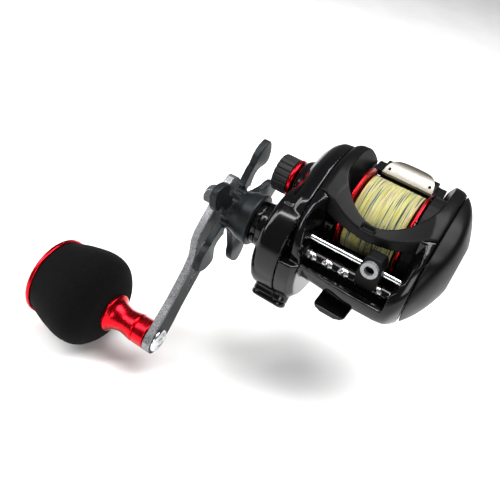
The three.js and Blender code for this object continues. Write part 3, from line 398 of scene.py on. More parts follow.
def makeMaterial(name, look):
    material = bpy.data.materials.new(name)
    material.use_nodes = True
    tree = material.node_tree
    tree.nodes.clear()
    surface = addNode(tree, "ShaderNodeBsdfPrincipled", look["shader"])
    addNode(tree, "ShaderNodeOutputMaterial", {}, {"Surface": surface.outputs["BSDF"]})
    spots = addNode(tree, "ShaderNodeTexCoord").outputs["Object"]
    sources = {}
    for key, (kind, size, settings, across) in look["patterns"].items():
        vector = spots
        if across != 1:
            stretch = addNode(tree, "ShaderNodeMapping", {"Scale": (1.0, across, across)},
                    {"Vector": spots})
            vector = stretch.outputs["Vector"]
        pattern = addNode(tree, "ShaderNodeTex" + kind, {"Scale": perMetre(size), **settings},
                {"Vector": vector})
        sources[key] = pattern.outputs["Distance" if kind == "Voronoi" else "Fac"]
    if "product" in look:
        first, second = (sources[key] for key in look["product"])
        product = addNode(tree, "ShaderNodeMath", {"operation": "MULTIPLY"}, {0: first, 1: second})
        sources["product"] = product.outputs[0]
    key, *stops = look["colour"]
    ramp = addNode(tree, "ShaderNodeValToRGB", {}, {"Fac": sources[key]})
    band = ramp.color_ramp.elements
    for element, (position, code) in ((band[0], stops[0]), (band[1], stops[-1])):
        element.position = position
        element.color = fromHex(code)
    for position, code in stops[1:-1]:
        band.new(position).color = fromHex(code)
    tree.links.new(ramp.outputs["Color"], surface.inputs["Base Color"])
    if "rough" in look:
        key, *ends = look["rough"]
        level = addNode(tree, "ShaderNodeMapRange", dict(zip(("From Min", "From Max", "To Min", "To Max"),
                ends)), {"Value": sources[key]})
        tree.links.new(level.outputs["Result"], surface.inputs["Roughness"])
    if "bump" in look:
        key, strength, depth = look["bump"]
        relief = addNode(tree, "ShaderNodeBump", {"Strength": strength, "Distance": depth * mm},
                {"Height": sources[key]})
        tree.links.new(relief.outputs["Normal"], surface.inputs["Normal"])
    return material


finish = {name: makeMaterial(name, look) for name, look in looks.items()}
print("materials made:", len(finish))


def place(piece, node, body, slot, *materials):  # a finished piece that stands for a CAD node
    piece.data.materials.clear()
    for name in materials:
        piece.data.materials.append(finish[name])
    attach(piece, body)
    if node:
        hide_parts(node)
    return piece


def shadeNode(node, material):  # a CAD node kept as it is
    nodes[node].data.materials.clear()
    nodes[node].data.materials.append(finish[material])
    for face in nodes[node].data.polygons:
        face.use_smooth = False


def gather(piece, parts):  # the parts' meshes added to the piece's
    work = bmesh.new()
    work.from_mesh(piece.data)
    for part in parts:
        work.from_mesh(part.data)
        bpy.data.objects.remove(part, do_unlink=True)
    work.to_mesh(piece.data)
    work.free()


def fuse(piece, parts, grain):  # overlapping bodies made one, on an even skin
    gather(piece, parts)
    skin = piece.modifiers.new("skin", "REMESH")
    skin.mode = "VOXEL"
    skin.voxel_size = grain * mm
    return applyModifiers(piece)


def castSkin(piece, grain, passes):  # an even fine skin with every edge rounded off, as a casting has
    skin = piece.modifiers.new("skin", "REMESH")
    skin.mode = "VOXEL"
    skin.voxel_size = grain * mm
    ease = piece.modifiers.new("ease", "SMOOTH")
    ease.factor = 0.5
    ease.iterations = passes
    applyModifiers(piece)
    for face in piece.data.polygons:
        face.use_smooth = True
    return piece


# body shells: sections of the reel's side outline at stations along the spool axis
bodyShape = {
    "footThickness": 2.6, "floorGap": 1.7, "outlineSteps": 8, "castGrain": 0.36, "castPasses": 3,
    "gap": 0.3,
    "outline": [(5, 20), (-6, 18.4), (-13.5, 14.8), (-19.5, 11), (-25, 7), (-30.3, -0.5), (-33.6, -8),
    (-34.6, -14),
                (-32.2, -19.6), (-25, -22.4), (-8, -22.4), (8, -22.4), (17, -18.6), (22.6, -11.6), (24.8,
                -3),
                (24.6, 6), (21.8, 13.6), (15.4, 19)],
    # x, inset all round, radius that the section stays within
    "wallStations": [(-24, 1.7, 30), (-22.6, 0.5, 30.6), (-21, 0, 31.2), (-17, 0, 32), (-9, 0, 33), (0,
    0, 35.5), (8, 0, 42),
                     (14.5, 0, 40), (17, 0, 37), (19.5, 0, 34.5), (21.5, 0.1, 31.5), (23.2, 0.6, 29)],
    "gearStations": [(-24.3, 2.1, 29.5), (-27.8, 2.4, 29), (-30.9, 4.4, 27), (-33.5, 8, 24)],
    "palmStations": [(23.5, 0.6, 28.6), (25.5, 0.8, 25.6), (28, 1, 21.3), (30.2, 1, 16.6), (31.8, 1,
    12.2), (32.7, 1, 9)],
    # z, inner half openings and the ones at the front skin (left and right), and where the front skin is
    "windowFlare": [(-11.3, -16.4, 16.2, -16.8, 16.5, -34.3), (-9, -17, 16.9, -17.7, 17.1, -33.8),
                    (-4, -17, 17.4, -19, 18.9, -32), (0, -17, 17.8, -20, 20.3, -30.2), (6, -17.6, 19,
                    -21.3, 22.2, -25.8),
                    (12, -18.6, 20.3, -22.3, 23, -19), (22, -18.6, 20.3, -22.3, 23, -15)],
}
castFinish = bodyShape["castGrain"], bodyShape["castPasses"]
spoolX0, spoolX1, rimRadius = roundSize("spool")[:3]
wallLeft, wallRight = bodyShape["wallStations"][0][0], bodyShape["wallStations"][-1][0]
wallLeftInner, wallRightInner = box("guide_rod")[0] + 2.4, box("guide_rod")[1] - 2.4
floorZ = -(rimRadius + bodyShape["floorGap"])
baseZ = bodyShape["footThickness"] - spoolHeight
outline = splineLoop(bodyShape["outline"], bodyShape["outlineSteps"])
outlineY, outlineZ = -4, -1.5
wide = 60


def outlineRing(x, inset, cap):
    # the outline drawn in by inset, and kept softly within a circle of radius cap
    ring = []
    for y, z in outline:
        dy, dz = y - outlineY, z - outlineZ
        reach = hypot(dy, dz)
        left = reach - inset
        if cap < 59:
            left = -log(exp(-0.6 * left) + exp(-0.6 * cap)) / 0.6
        ring.append((x, outlineY + dy * left / reach, outlineZ + dz * left / reach))
    return ring


def easedStations(stations, parts=4):  # stations in between on curves that never overshoot
    slopes = []
    for k in range(len(stations)):
        before, here, after = stations[max(k - 1, 0)], stations[k], stations[min(k + 1,
                len(stations) - 1)]
        row = []
        for c in (1, 2):
            a = (here[c] - before[c]) / (here[0] - before[0]) if before is not here else None
            b = (after[c] - here[c]) / (after[0] - here[0]) if after is not here else None
            if a is None or b is None:
                row.append(b if a is None else a)
            else:
                row.append(2 * a * b / (a + b) if a * b > 0 else 0.0)
        slopes.append(row)
    fine = []
    for k in range(len(stations) - 1):
        first, second = stations[k], stations[k + 1]
        span = second[0] - first[0]
        for s in range(parts):
            t = s / parts
            row = [first[0] + span * t]
            for c in (1, 2):
                row.append((2 * t ** 3 - 3 * t * t + 1) * first[c] + (t ** 3 - 2 * t * t
                        + t) * span * slopes[k][c - 1] + (3 * t * t - 2 * t ** 3) * second[c]
                        + (t ** 3 - t * t) * span * slopes[k + 1][c - 1])
            fine.append(tuple(row))
    return fine + [stations[-1]]


def outlineSolid(name, stations):
    return loft(name, [outlineRing(*station) for station in easedStations(stations)])


def coverRegion(shift):
    return slabX("region", [(-wide, 1 + shift), (-16, 1 + shift), (-10, 6.4 + shift), (wide, 6.4 + shift),
            (wide, wide), (-wide, wide)], -wide, wide)


def coverFront(forward):
    left, right = (wallLeft, -17 - forward), (wallRight, -16 - forward)
    edge = [(-wide, wide), (-wide, -13 - forward)] + bend(left, (2, -27.5 - forward), right, 40) + [right,
            (wide, -13 - forward), (wide, wide)]
    return slabZ("front", edge, -wide, wide)


def bridgeTrough():
    radius, slope = 60, atan2(4, 6)
    ring = []
    for end in (-30, 30):
        row = []
        for i in range(256):
            a = 2 * pi * i / 256
            x, y, z = radius * cos(a), end, radius + radius * sin(a)
            row.append((x + 2, y * cos(slope) - z * sin(slope) - 18, y * sin(slope) + z * cos(slope)
                    + 8.6))
        ring.append(row)
    return loft("trough", ring)


def spoolOpening():
    rimHalf = spoolX1 + 0.9
    rings = []
    for z, halfWidth, front in ((-1, rimHalf, 18.4), (7.5, rimHalf, 18.4), (20.5, rimHalf + 5.2, 17.8),
            (30, rimHalf + 7, 17.8)):
        row = []
        for k in range(41):
            t = pi * k / 40
            row.append((-halfWidth * cos(t), -4 - (front - 4) * sin(t) ** 0.8, z))
        rings.append(row + [(halfWidth, wide, z), (-halfWidth, wide, z)])
    return loft("opening", rings)


def windowFlare():
    rings = []
    for z, innerLeft, innerRight, outerLeft, outerRight, front in bodyShape["windowFlare"]:
        reach = (-wide + 19) / (front + 19) if front < -20 else 8
        farLeft = innerLeft + (outerLeft - innerLeft) * reach
        farRight = innerRight + (outerRight - innerRight) * reach
        rings.append([(innerLeft, -19, z), (farLeft, -wide, z), (farRight, -wide, z),
                (innerRight, -19, z)])
    return loft("flare", rings)


def disc(name, radius, x0, x1, y=0.0, z=0.0, around=96):
    return turned(name, [(x0, 0), (x0, radius), (x1, radius), (x1, 0)], y, z, around)


thumbBox = box("thumb_bar")
wormX0, wormX1, wormY0, wormY1, wormZ0, wormZ1 = box("worm_shaft")
wormY, wormZ, wormRadius = (wormY0 + wormY1) / 2, (wormZ0 + wormZ1) / 2, (wormZ1 - wormZ0) / 2
shaftRadius = roundSize("drive_shaft")[2]
gearTip = (box("drive_gear")[3] - box("drive_gear")[2]) / 2
drumRadius = gearTip + 2.2


def thumbSlot():
    return blockOf("slot", thumbBox[0] - 0.5, thumbBox[1] + 0.5, 13.2, wide, thumbBox[4] - 3.3, wide)


def insideShape():
    return [(-wide, -11.6), (-31.2, -12.6), (-29.6, -17.2), (-25, floorZ), (0, floorZ), (10.5, -17.2),
            (17.6, -10.6), (21.2, -2), (21.6, 6), (21.6, wide), (-wide, wide)]


def makeFrame():
    casting = outlineSolid("frameCasting", bodyShape["wallStations"])
    hollow = slabX("hollow", insideShape(), wallLeftInner, wallRightInner)
    top = combine(coverRegion(0), [coverFront(0)], "INTERSECT")
    well = disc("well", rimRadius + 0.7, spoolX0 - 0.6, wallRight + 1, around=160)
    combine(casting, [hollow, windowFlare(), top, well])
    boss = combine(disc("boss", rimRadius + 1.2, wallLeftInner - 1, spoolX0 - 0.6, around=160),
            [coverRegion(-0.3)])
    fuse(casting, [boss, gearBack(), portLug("frameLug", wallLeft + 0.06, portShape["x1"] + 1),
            makeFoot()], bodyShape["castGrain"])
    pinion = disc("bore", 5.4, wallLeft - 1, spoolX0)
    shaft = disc("bore", shaftRadius + 0.25, wallLeft - 1, wallLeft + 6, handleY, handleZ)
    bush = disc("bore", roundSize("worm_bush_left")[2] + 0.3, wallLeft - 1, wallRightInner + 3, wormY,
            wormZ)
    combine(casting, [pinion, shaft, bush, thumbSlot()])
    castSkin(casting, *castFinish)
    return place(casting, "frame", "housing", "gloss_black", "blackLacquer")


def gearBack():
    radius = drumRadius - 0.2
    back = turned("gearBack", [(wallLeft + 0.03, 0), (wallLeft + 0.03, radius),
            (wallLeft + 5.4, radius - 0.5), (wallLeft + 7.4, radius - 3),
            (wallLeft + 7.4, 0)], handleY, handleZ, 160)
    return combine(back, [slabX("inside", insideShape(), wallLeft - 1, wallRightInner), coverRegion(0)])


def makeFoot():
    half, flat, base = 6.75, 4, -spoolHeight

    def section(y, width, top):
        return [(-flat * width, y, base), (flat * width, y, base), (half * width, y, base + 0.9),
                (half * width, y, top), (-half * width, y, top), (-half * width, y, base + 0.9)]

    full = baseZ + 0.8
    return loft("foot", [section(-36, 0.82, base + 1.9), section(-34.4, 0.96, base + 2.2),
            section(-24, 1, full), section(14, 1, full), section(23, 1, base + 2.2),
            section(27, 0.82, base + 1.4)])


def makeTopCover():
    hood = outlineSolid("hood", bodyShape["wallStations"])
    combine(hood, [coverRegion(bodyShape["gap"])], "INTERSECT")
    combine(hood, [coverFront(-bodyShape["gap"])], "INTERSECT")
    under = disc("under", rimRadius + 0.9, spoolX0 - 0.9, spoolX1 + 0.9, around=160)
    belly = slabX("belly", [(-wide, -wide), (-wide, 2.6), (-21.6, 2.6), (-17.8, 5.2), (-14, 5.2),
            (-14, -wide)], wallLeftInner - 2, wallRightInner + 2)
    well = disc("well", rimRadius + 0.7, spoolX0 - 0.6, wallRight + 1, around=160)
    notch = blockOf("notch", -3.2, 2.2, -21.6, -19.4, 6.4, 12)
    combine(hood, [under, spoolOpening(), bridgeTrough(), thumbSlot(), belly, well, notch])
    castSkin(hood, *castFinish)
    return place(hood, "top_cover", "housing", "satin_black", "satinPaint")


# the oval port on the gear drum's lower front
portShape = {"angle": 239, "x0": -34, "x1": -18.6, "width": 7.6, "lug": 2.4, "cap": 2, "screwX": -21.6,
        "screwRadius": 1.9}


def ovalRing(x0, x1, width, radius, steps=16):
    half = width / 2
    ring = []
    for i in range(steps + 1):
        a = pi / 2 + pi * i / steps
        ring.append((x0 + half + half * cos(a), half * sin(a)))
    for i in range(steps + 1):
        a = -pi / 2 + pi * i / steps
        ring.append((x1 - half + half * cos(a), half * sin(a)))
    return [(x, radius, side) for x, side in ring]


def standAt(piece, degrees, axis, x, y, z):  # a piece about the X axis, turned there and moved
    piece.data.transform(Matrix.Translation(Vector((0, 0, -spoolHeight * mm))))
    piece.data.transform(Matrix.Rotation(radians(degrees), 4, axis))
    piece.data.transform(Matrix.Translation(Vector((x * mm, y * mm, (spoolHeight + z) * mm))))
    return piece


def onDrum(piece):  # from the +Y side of the X axis to the port's place on the drum
    return standAt(piece, portShape["angle"], "X", 0, handleY, handleZ)


def portLug(name, x0, x1):
    lug = loft(name, [ovalRing(portShape["x0"], portShape["x1"], portShape["width"],
            r) for r in (drumRadius - 1.8, drumRadius + portShape["lug"])])
    return combine(onDrum(lug), [blockOf("keep", x0, x1, -90, 60, -90, 60)], "INTERSECT")


def makePort():
    low = drumRadius + portShape["lug"] + 0.2
    high = low + portShape["cap"]
    rings = []
    for radius, inset in ((low, 0.15), (low + 0.3, 0), (high - 0.9, 0), (high - 0.4, 0.2),
            (high - 0.1, 0.6), (high, 1.1)):
        rings.append(ovalRing(portShape["x0"] + inset, portShape["x1"] - inset,
                portShape["width"] - 2 * inset, radius))
    cap = loft("portCap", rings)
    pocket = loft("pocket", [ovalRing(portShape["x0"] + 2, portShape["screwX"] - 2.8,
            portShape["width"] - 3.6, r) for r in (high - 0.45, high + 1)])
    seat = loft("seat", [ovalRing(portShape["screwX"] - 2.2, portShape["screwX"] + 2.2, 4.3,
            r) for r in (high - 1.2, high + 1)])
    combine(cap, [pocket, seat])
    place(smooth(onDrum(cap), 40), "port_cap", "housing", "black_plastic", "blackLacquer")
    rings = []
    for radius, size in ((high - 1.1, 1.7), (high + 0.1, 1.9), (high + 0.35, 1.7), (high + 0.5, 1.2)):
        rings.append(ovalRing(portShape["screwX"] - size, portShape["screwX"] + size, 2 * size, radius,
                24))
    screw = loft("portScrew", rings)
    tools = [blockOf("slot", portShape["screwX"] - 2.4, portShape["screwX"] + 2.4, high, high + 1, -0.28,
            0.28)]
    combine(screw, tools)
    place(smooth(onDrum(screw), 35), "port_screw", "housing", "steel", "polishedSteel")


def makeGearCover():
    start, end = -24.3, -35.6
    shell = outlineSolid("gearCover", bodyShape["gearStations"])
    drum = turned("drum", [(start - 0.03, 0), (start - 0.03, drumRadius)] + [(x, r) for x,
            r in arc(end + 3.2, drumRadius - 3.2, 3.2, pi / 2, pi, 8)] + [(end,
            0)], handleY, handleZ, 192)
    tensionBoss = turned("boss", [(start - 0.5, 0), (start - 0.5, 10.6), (-33.4, 10.6), (-36.4, 9.2),
            (-37.6, 8.2), (-37.6, 0)])
    thread = disc("thread", 6.2, -44.8, -37)
    boss = turned("boss", [(start - 0.7, 0), (start - 0.7, 16), (end - 0.2, 13.2), (end - 1.6, 10.6),
            (end - 2.4, 9.6), (-41.4, 9.6), (-41.4, 0)], handleY, handleZ)
    fuse(shell, [drum, tensionBoss, thread, boss, portLug("lug", portShape["x0"] - 1, start - 0.06)],
            bodyShape["castGrain"])
    cavity = outlineSolid("cavity", [(start + 1, 4, 29), (-27.8, 4.2, 28), (-30, 6.2, 26),
            (-31.9, 10, 23)])
    drumCavity = disc("cavity", drumRadius - 1.6, start + 1, end + 1.6, handleY, handleZ)
    bores = [disc("bore", 2.2, -60, 0), disc("bore", 5.02, -60, -36.4),
            disc("bore", 8.22, -60, end - 1.2, handleY, handleZ), disc("bore", shaftRadius + 0.6, -60, 0,
            handleY, handleZ)]
    screwHole = disc("bore", 1.6, -60, -28.6, -25.2, 4.6)
    combine(shell, [cavity, drumCavity, screwHole] + bores)
    castSkin(shell, *castFinish)
    return place(shell, "gear_side_cover", "housing", "gloss_black", "blackLacquer")


def makePalmPlate():
    shell = outlineSolid("palmPlate", bodyShape["palmStations"])
    inside = [(x - 1.4, inset + 2, cap - 1.2) for x, inset, cap in bodyShape["palmStations"]]
    cavity = outlineSolid("cavity", [(22, 2.6, 27)] + inside[1:])
    combine(shell, [cavity, disc("seat", 5.1, 31.6, 40), disc("seat", 2.8, 26, 40)])
    castSkin(shell, *castFinish)
    return place(shell, "palm_side_plate", "housing", "satin_black", "satinPaint")


def makeShells():
    makeFrame()
    print("frame done")
    makeTopCover()
    makeGearCover()
    makePalmPlate()
    makePort()
    print("covers done")


# handle side: all turned or cut about the handle axis, the knob's axis or the spool's axis
armX0, armX1 = box("handle_arm")[:2]
armLength = hypot(knobY - handleY, knobZ - handleZ)
armTurn = math.degrees(atan2(knobZ - handleZ, knobY - handleY))
armShape = {
    "thickness": 3.7, "chamfer": 0.45, "slotFrom": 19.5, "slotTo": 39.5, "slotWidth": 2.8,
    # along the arm from the handle axis, half width
    "width": [(-12, 2.4), (-11.6, 3.9), (-10.4, 5.1), (-8, 5.8), (0, 7.2), (12, 6.9), (25, 6.1), (38,
    5.5), (47, 5.3), (56, 5.8),
              (63.2, 6.2), (66.2, 5.5), (68, 4.1), (69, 2.6), (69.4, 0.8)],
    # along the arm, how far its outer face is set inwards
    "crank": [(-13, 0), (16, 0), (20, 0.5), (26.5, 3.0), (32, 3.6), (54, 4.3), (71, 4.3)],
}


def between(table, at):  # straight lines through a table of pairs
    for (a, u), (b, v) in zip(table, table[1:]):
        if at <= b:
            return u + (v - u) * max(0.0, (at - a) / (b - a))
    return table[-1][1]


def makeArm():
    thick, chamfer = armShape["thickness"], armShape["chamfer"]
    start, stop = armShape["width"][0][0], armShape["width"][-1][0]
    rings = []
    stations = sorted({round(start + (stop - start) * k / 90, 3) for k in range(91)} | {r for r,
            w in armShape["width"]})
    for r in stations:
        half = between(armShape["width"], r)
        x = armX0 + between(armShape["crank"], r)
        c = min(chamfer, half * 0.4)
        rings.append([(x, -half + c), (x + c, -half), (x + thick - c, -half), (x + thick, -half + c),
                (x + thick, half - c), (x + thick - c, half), (x + c, half), (x, half - c)])
    arm = loft("arm", [[(x, handleY + r, handleZ + w) for x, w in ring] for r,
            ring in zip(stations, rings)])
    half = armShape["slotWidth"] / 2
    first, last = armShape["slotFrom"], armShape["slotTo"]
    oval = arc(handleY + last, handleZ, half, -pi / 2, pi / 2) + arc(handleY + first, handleZ, half * 1.2,
            pi / 2, 1.5 * pi)
    combine(arm, [slabX("slot", oval, armX0 - 3, armX1 + 3), disc("bore", 2.65, armX0 - 1, armX1, handleY,
            handleZ), disc("bore", 2.3, armX0 - 1, armX1 + 1, handleY + armLength, handleZ)])
    turnAbout(arm, armTurn, handleY, handleZ)
    place(smooth(arm, 24), "handle_arm", "handle", "black_metal", "blackAnodised", "machinedEdge")
    for face in arm.data.polygons:
        face.material_index = 0 if abs(face.normal.x) > 0.86 else 1


nutShape = {"flats": 9}


def makeNut():
    x0, x1 = box("handle_nut")[:2]
    corner = nutShape["flats"] / 2 / cos(pi / 6)
    hexagon = [(handleY + corner * cos(k * pi / 3), handleZ + corner * sin(k * pi / 3)) for k in range(6)]
    nut = slabX("nut", hexagon, x0 - 1, x1)
    dome = [(x1 + 1, 0), (x1 + 1, corner + 1), (x1 - 0.2, corner + 0.1), (x0 + 2.3, corner + 0.05),
            (x0 + 1.1, corner - 0.75)]
    dome += [(x0 + 1.1 - 1.1 * cos(a), (corner - 0.9) * sin(a)) for a in (pi / 2 * (1 - k / 10)
            for k in range(11))]
    combine(nut, [turned("dome", dome, handleY, handleZ, 192)], "INTERSECT")
    combine(nut, [disc("bore", 2.2, x0 + 1.8, x1 + 1, handleY, handleZ)])
    soften(nut, 0.22, 3, 24)
    place(smooth(nut, 60), "handle_nut", "handle", "chrome", "chromePlate")
    x0, x1, radius = roundSize("nut_washer")[:3]
    ring = roundCorners([(x0, 2.65), (x0, radius - 0.5), (x0 + 0.2, radius), (x1, radius), (x1, 2.65)],
            0.15)
    place(smooth(turned("nutWasher", ring, handleY, handleZ)), "nut_washer", "handle", "red_anodised",
            "anodisedRed")


knobShape = {"stem": 6.2, "waist": 5.5, "flare": 8.4, "groove": 0.9, "pin": 2.2, "pinHead": 5}


def makeKnob():
    start = box("knob_stem")[1]
    capX0, capX1, capRadius = roundSize("knob_cap")[:3]
    ballX0, ballX1, ballRadius = roundSize("knob_grip")[:3]
    ballStart = ballX1 + 1.2
    stem, waist, flare = knobShape["stem"], knobShape["waist"], knobShape["flare"]
    body = roundCorners([(start, 2.6), (start, stem), (start - 5.1, stem)],
            0.45)[:-4] + [(start - 5.1, stem - 0.05), (start - 5.4, stem - 0.3),
            (start - 5.7, stem - knobShape["groove"]), (start - 6.0, stem - 0.3),
            (start - 6.3, stem - 0.05)]
    body += curveThrough([(start - 6.8, stem), (start - 8.4, stem - 0.25), (start - 11.2, waist),
            (ballStart + 5.4, waist + 0.05), (ballStart + 2.2, flare - 1.9),
            (ballStart + 0.5, flare - 0.15), (ballStart, flare)], 6)
    body += [(ballStart - 0.7, flare), (ballStart - 0.9, flare - 0.2), (ballStart - 0.9, 4.6),
            (capX0 + 4.4, 4.6), (capX0 + 4.4, 2.6)]
    place(smooth(turned("knobStem", body, knobY, knobZ), 40), "knob_stem", "knob", "red_anodised",
            "anodisedRed")
    skin = curveThrough([(ballX1, flare - 0.4), (ballX1 - 0.7, flare + 2.4), (ballX1 - 2.4, 15.4),
            (ballX1 - 7, ballRadius - 1.3), (ballX1 - 13.3, ballRadius),
            (ballX1 - 21.8, ballRadius - 1.5), (ballX0 + 0.4, capRadius - 0.6),
            (ballX0, capRadius - 1)], 8)
    ball = turned("knobGrip", [(ballX1, 4.7)] + skin + [(ballX0, 4.7)], knobY, knobZ, 160)
    place(smooth(ball, 60), "knob_grip", "knob", "eva_foam", "evaFoam")
    cap = roundCorners([(capX1, 0), (capX1, capRadius), (capX0 + 1.2, capRadius),
            (capX0, capRadius - 2.2), (capX0, 0)], 0.7, steps=6)
    place(smooth(turned("knobCap", cap, knobY, knobZ, 192), 40), "knob_cap", "knob", "red_anodised",
            "anodisedRed")
    pinX0, pinX1 = box("knob_pin")[:2]
    head, shank = knobShape["pinHead"], knobShape["pin"]
    pin = [(pinX1, 0), (pinX1, 1.6), (pinX1 - 0.1, 1.75), (pinX1 - 0.32, 1.9), (pinX1 - 0.32, 2.3),
            (pinX1 - 0.08, 2.5), (pinX1 - 0.1, 3.3), (pinX1 - 0.4, 4.3), (pinX1 - 0.75, head - 0.25),
            (pinX1 - 1.0, head), (pinX1 - 1.4, head), (pinX1 - 1.4, shank), (pinX0, shank), (pinX0, 0)]
    place(smooth(turned("knobPin", pin, knobY, knobZ), 50), "knob_pin", "handle", "steel",
            "polishedSteel")


starShape = {
    "blades": 5, "first": 68, "thickness": 3.2, "grain": 0.28, "flutes": 10, "fluteDepth": 0.8,
    # radius, half width of a blade, how far it stands out towards the arm
    "blade": [(7, 4.8, 1.9), (9.4, 4.2, 1.9), (11.6, 3.4, 1.9), (14, 3, 1.9), (16.4, 3, 1.8), (18.4, 3.2,
    1.5), (20, 3.9, 0.9),
              (21.2, 5.1, 0.4), (22.6, 5.8, 0.1), (24.6, 5.8, 0), (27, 5, 0), (29, 3.7, 0), (30.6, 2, 0),
              (31.4, 0.8, 0)],
}


def makeStar():
    hubX0, inner = box("star_drag")[:2]
    face = inner - 8.6
    profile = [(inner, 3.5), (inner, 10.5), (inner - 0.3, 11.1), (inner - 0.8, 11.3), (inner - 5.5, 10.5),
            (inner - 8, 9.4), (hubX0 + 0.4, 8.1), (hubX0, 7.7), (hubX0, 3.5)]
    star = turned("star", profile, handleY, handleZ, 192)
    blades = []
    for k in range(starShape["blades"]):
        rings = []
        for r, half, lean in starShape["blade"]:
            x0, x1 = face - starShape["thickness"] - lean + 0.1, face - lean - 0.1
            rings.append([(x, handleY + r, handleZ + w) for x, w in ((x0, -half), (x1, -half), (x1, half),
                    (x0, half))])
        blade = loft("blade", rings)
        blades.append(turnAbout(blade, starShape["first"] + k * 360 / starShape["blades"], handleY,
                handleZ))
    fuse(star, blades, starShape["grain"])
    flutes = []
    for k in range(starShape["flutes"]):
        radius = 1.7
        groove = disc("flute", radius, hubX0 - 1, inner - 9, handleY + 8.6
                + radius - starShape["fluteDepth"], handleZ, 32)
        flutes.append(turnAbout(groove, starShape["first"] + (k + 0.5) * 360 / starShape["flutes"],
                handleY, handleZ))
    castSkin(combine(star, flutes), starShape["grain"], 3)
    combine(star, [disc("skirt", 8.8, inner - 2.6, inner + 1, handleY, handleZ),
            disc("bore", 3.5, hubX0 - 1, inner + 1, handleY, handleZ)])
    place(smooth(star, 50), "star_drag", "star", "black_metal", "blackAnodised")


ringShape = {"notches": 8, "notchWidth": 1.8}


def makeClickRing():
    x0, x1, radius = roundSize("click_ring")[:3]
    body = roundCorners([(x0, 7.4), (x0, radius - 1.1), (x0 + 2.8, radius - 1.1), (x0 + 2.9, radius),
            (x1, radius), (x1, 7.4)], 0.25)
    ring = turned("clickRing", body, handleY, handleZ, 192)
    teeth = []
    for k in range(ringShape["notches"]):
        half = ringShape["notchWidth"] / 2
        tooth = blockOf("tooth", x0 + 2.5, x1 + 1, handleY + radius - 0.9, handleY + radius + 2,
                handleZ - half, handleZ + half)
        teeth.append(turnAbout(tooth, k * 360 / ringShape["notches"], handleY, handleZ))
    combine(ring, teeth)
    place(smooth(soften(ring, 0.15, 2, 40), 50), "click_ring", "housing", "gloss_black", "blackLacquer")


tensionShape = {"ribs": 18, "groove": 0.5}


def makeTensionCap():
    x0, x1, radius = roundSize("tension_knob")[:3]
    ribs = tensionShape["ribs"]
    rings = []
    for x, inset in ((x1, 0.35), (x1 - 0.25, 0), (x0 + 1.0, 0), (x0 + 0.45, 0.15), (x0 + 0.12, 0.55),
            (x0, 1.1)):
        row = []
        for i in range(ribs * 16):
            a = 2 * pi * i / (ribs * 16)
            valley = max(0.0, cos(a * ribs)) ** 6
            r = radius - inset - tensionShape["groove"] * valley
            row.append((x, r * cos(a), r * sin(a)))
        rings.append(row)
    grip = loft("tensionKnob", rings)
    dish = turned("dish", [(x0 - 1, 0), (x0 - 1, 6.1), (x0 + 0.3, 5.3), (x0 + 0.7, 4.9), (x0 + 0.7, 0)])
    combine(grip, [dish, disc("well", 6.5, x0 + 2.2, x1 + 1)])
    place(smooth(grip, 40), "tension_knob", "tension_cap", "black_rubber", "ribbedRubber")
    x0, x1, radius = roundSize("tension_ring")[:3]
    body = roundCorners([(x0, 6.5), (x0, radius), (x0 + 1.4, radius), (x1, radius - 1.2), (x1, 6.5)], 0.3)
    place(smooth(turned("tensionRing", body), 40), "tension_ring", "tension_cap", "red_anodised",
            "anodisedRed")


# spool, its line and the thumb bar
spoolShape = {"arbor": 9, "strand": 0.21, "turns": 56, "lay": 0.05}


def makeSpool():
    half, arbor = (spoolX1 - spoolX0) / 2, spoolShape["arbor"]

    def flange(s):
        return [(s * (half - 0.9), 6), (s * (half - 1), rimRadius - 3.2),
                (s * (half - 0.2), rimRadius - 2.1), (s * half, rimRadius - 1.6),
                (s * half, rimRadius - 0.5), (s * (half - 0.15), rimRadius - 0.1),
                (s * (half - 0.5), rimRadius), (s * (half - 0.9), rimRadius - 0.1),
                (s * (half - 1.1), rimRadius - 0.5), (s * (half - 1.6), rimRadius - 2.4),
                (s * (half - 3.1), arbor + 1.2), (s * (half - 4.2), arbor)]

    profile = [(-half + 0.9, 1.62)] + flange(-1) + flange(1)[::-1] + [(half - 0.9, 1.62)]
    place(smooth(turned("spoolBody", profile, around=224), 40), "spool", "spool", "red_anodised",
            "anodisedRed")


def tube(path, radius, sides=6):  # rings and faces of a round strand along a path of points
    points, faces = [], []
    for k, here in enumerate(path):
        ahead = path[min(k + 1, len(path) - 1)] - path[max(k - 1, 0)]
        out = Vector((0, here.y, here.z)).normalized()
        across = ahead.cross(out).normalized()
        for i in range(sides):
            a = 2 * pi * i / sides
            points.append(here + out * radius * cos(a) + across * radius * sin(a))
    for k in range(len(path) - 1):
        for i in range(sides):
            j = (i + 1) % sides
            faces.append((k * sides + i, k * sides + j, (k + 1) * sides + j, (k + 1) * sides + i))
    faces.append(tuple(reversed(range(sides))))
    faces.append(tuple(range((len(path) - 1) * sides, len(path) * sides)))
    return points, faces


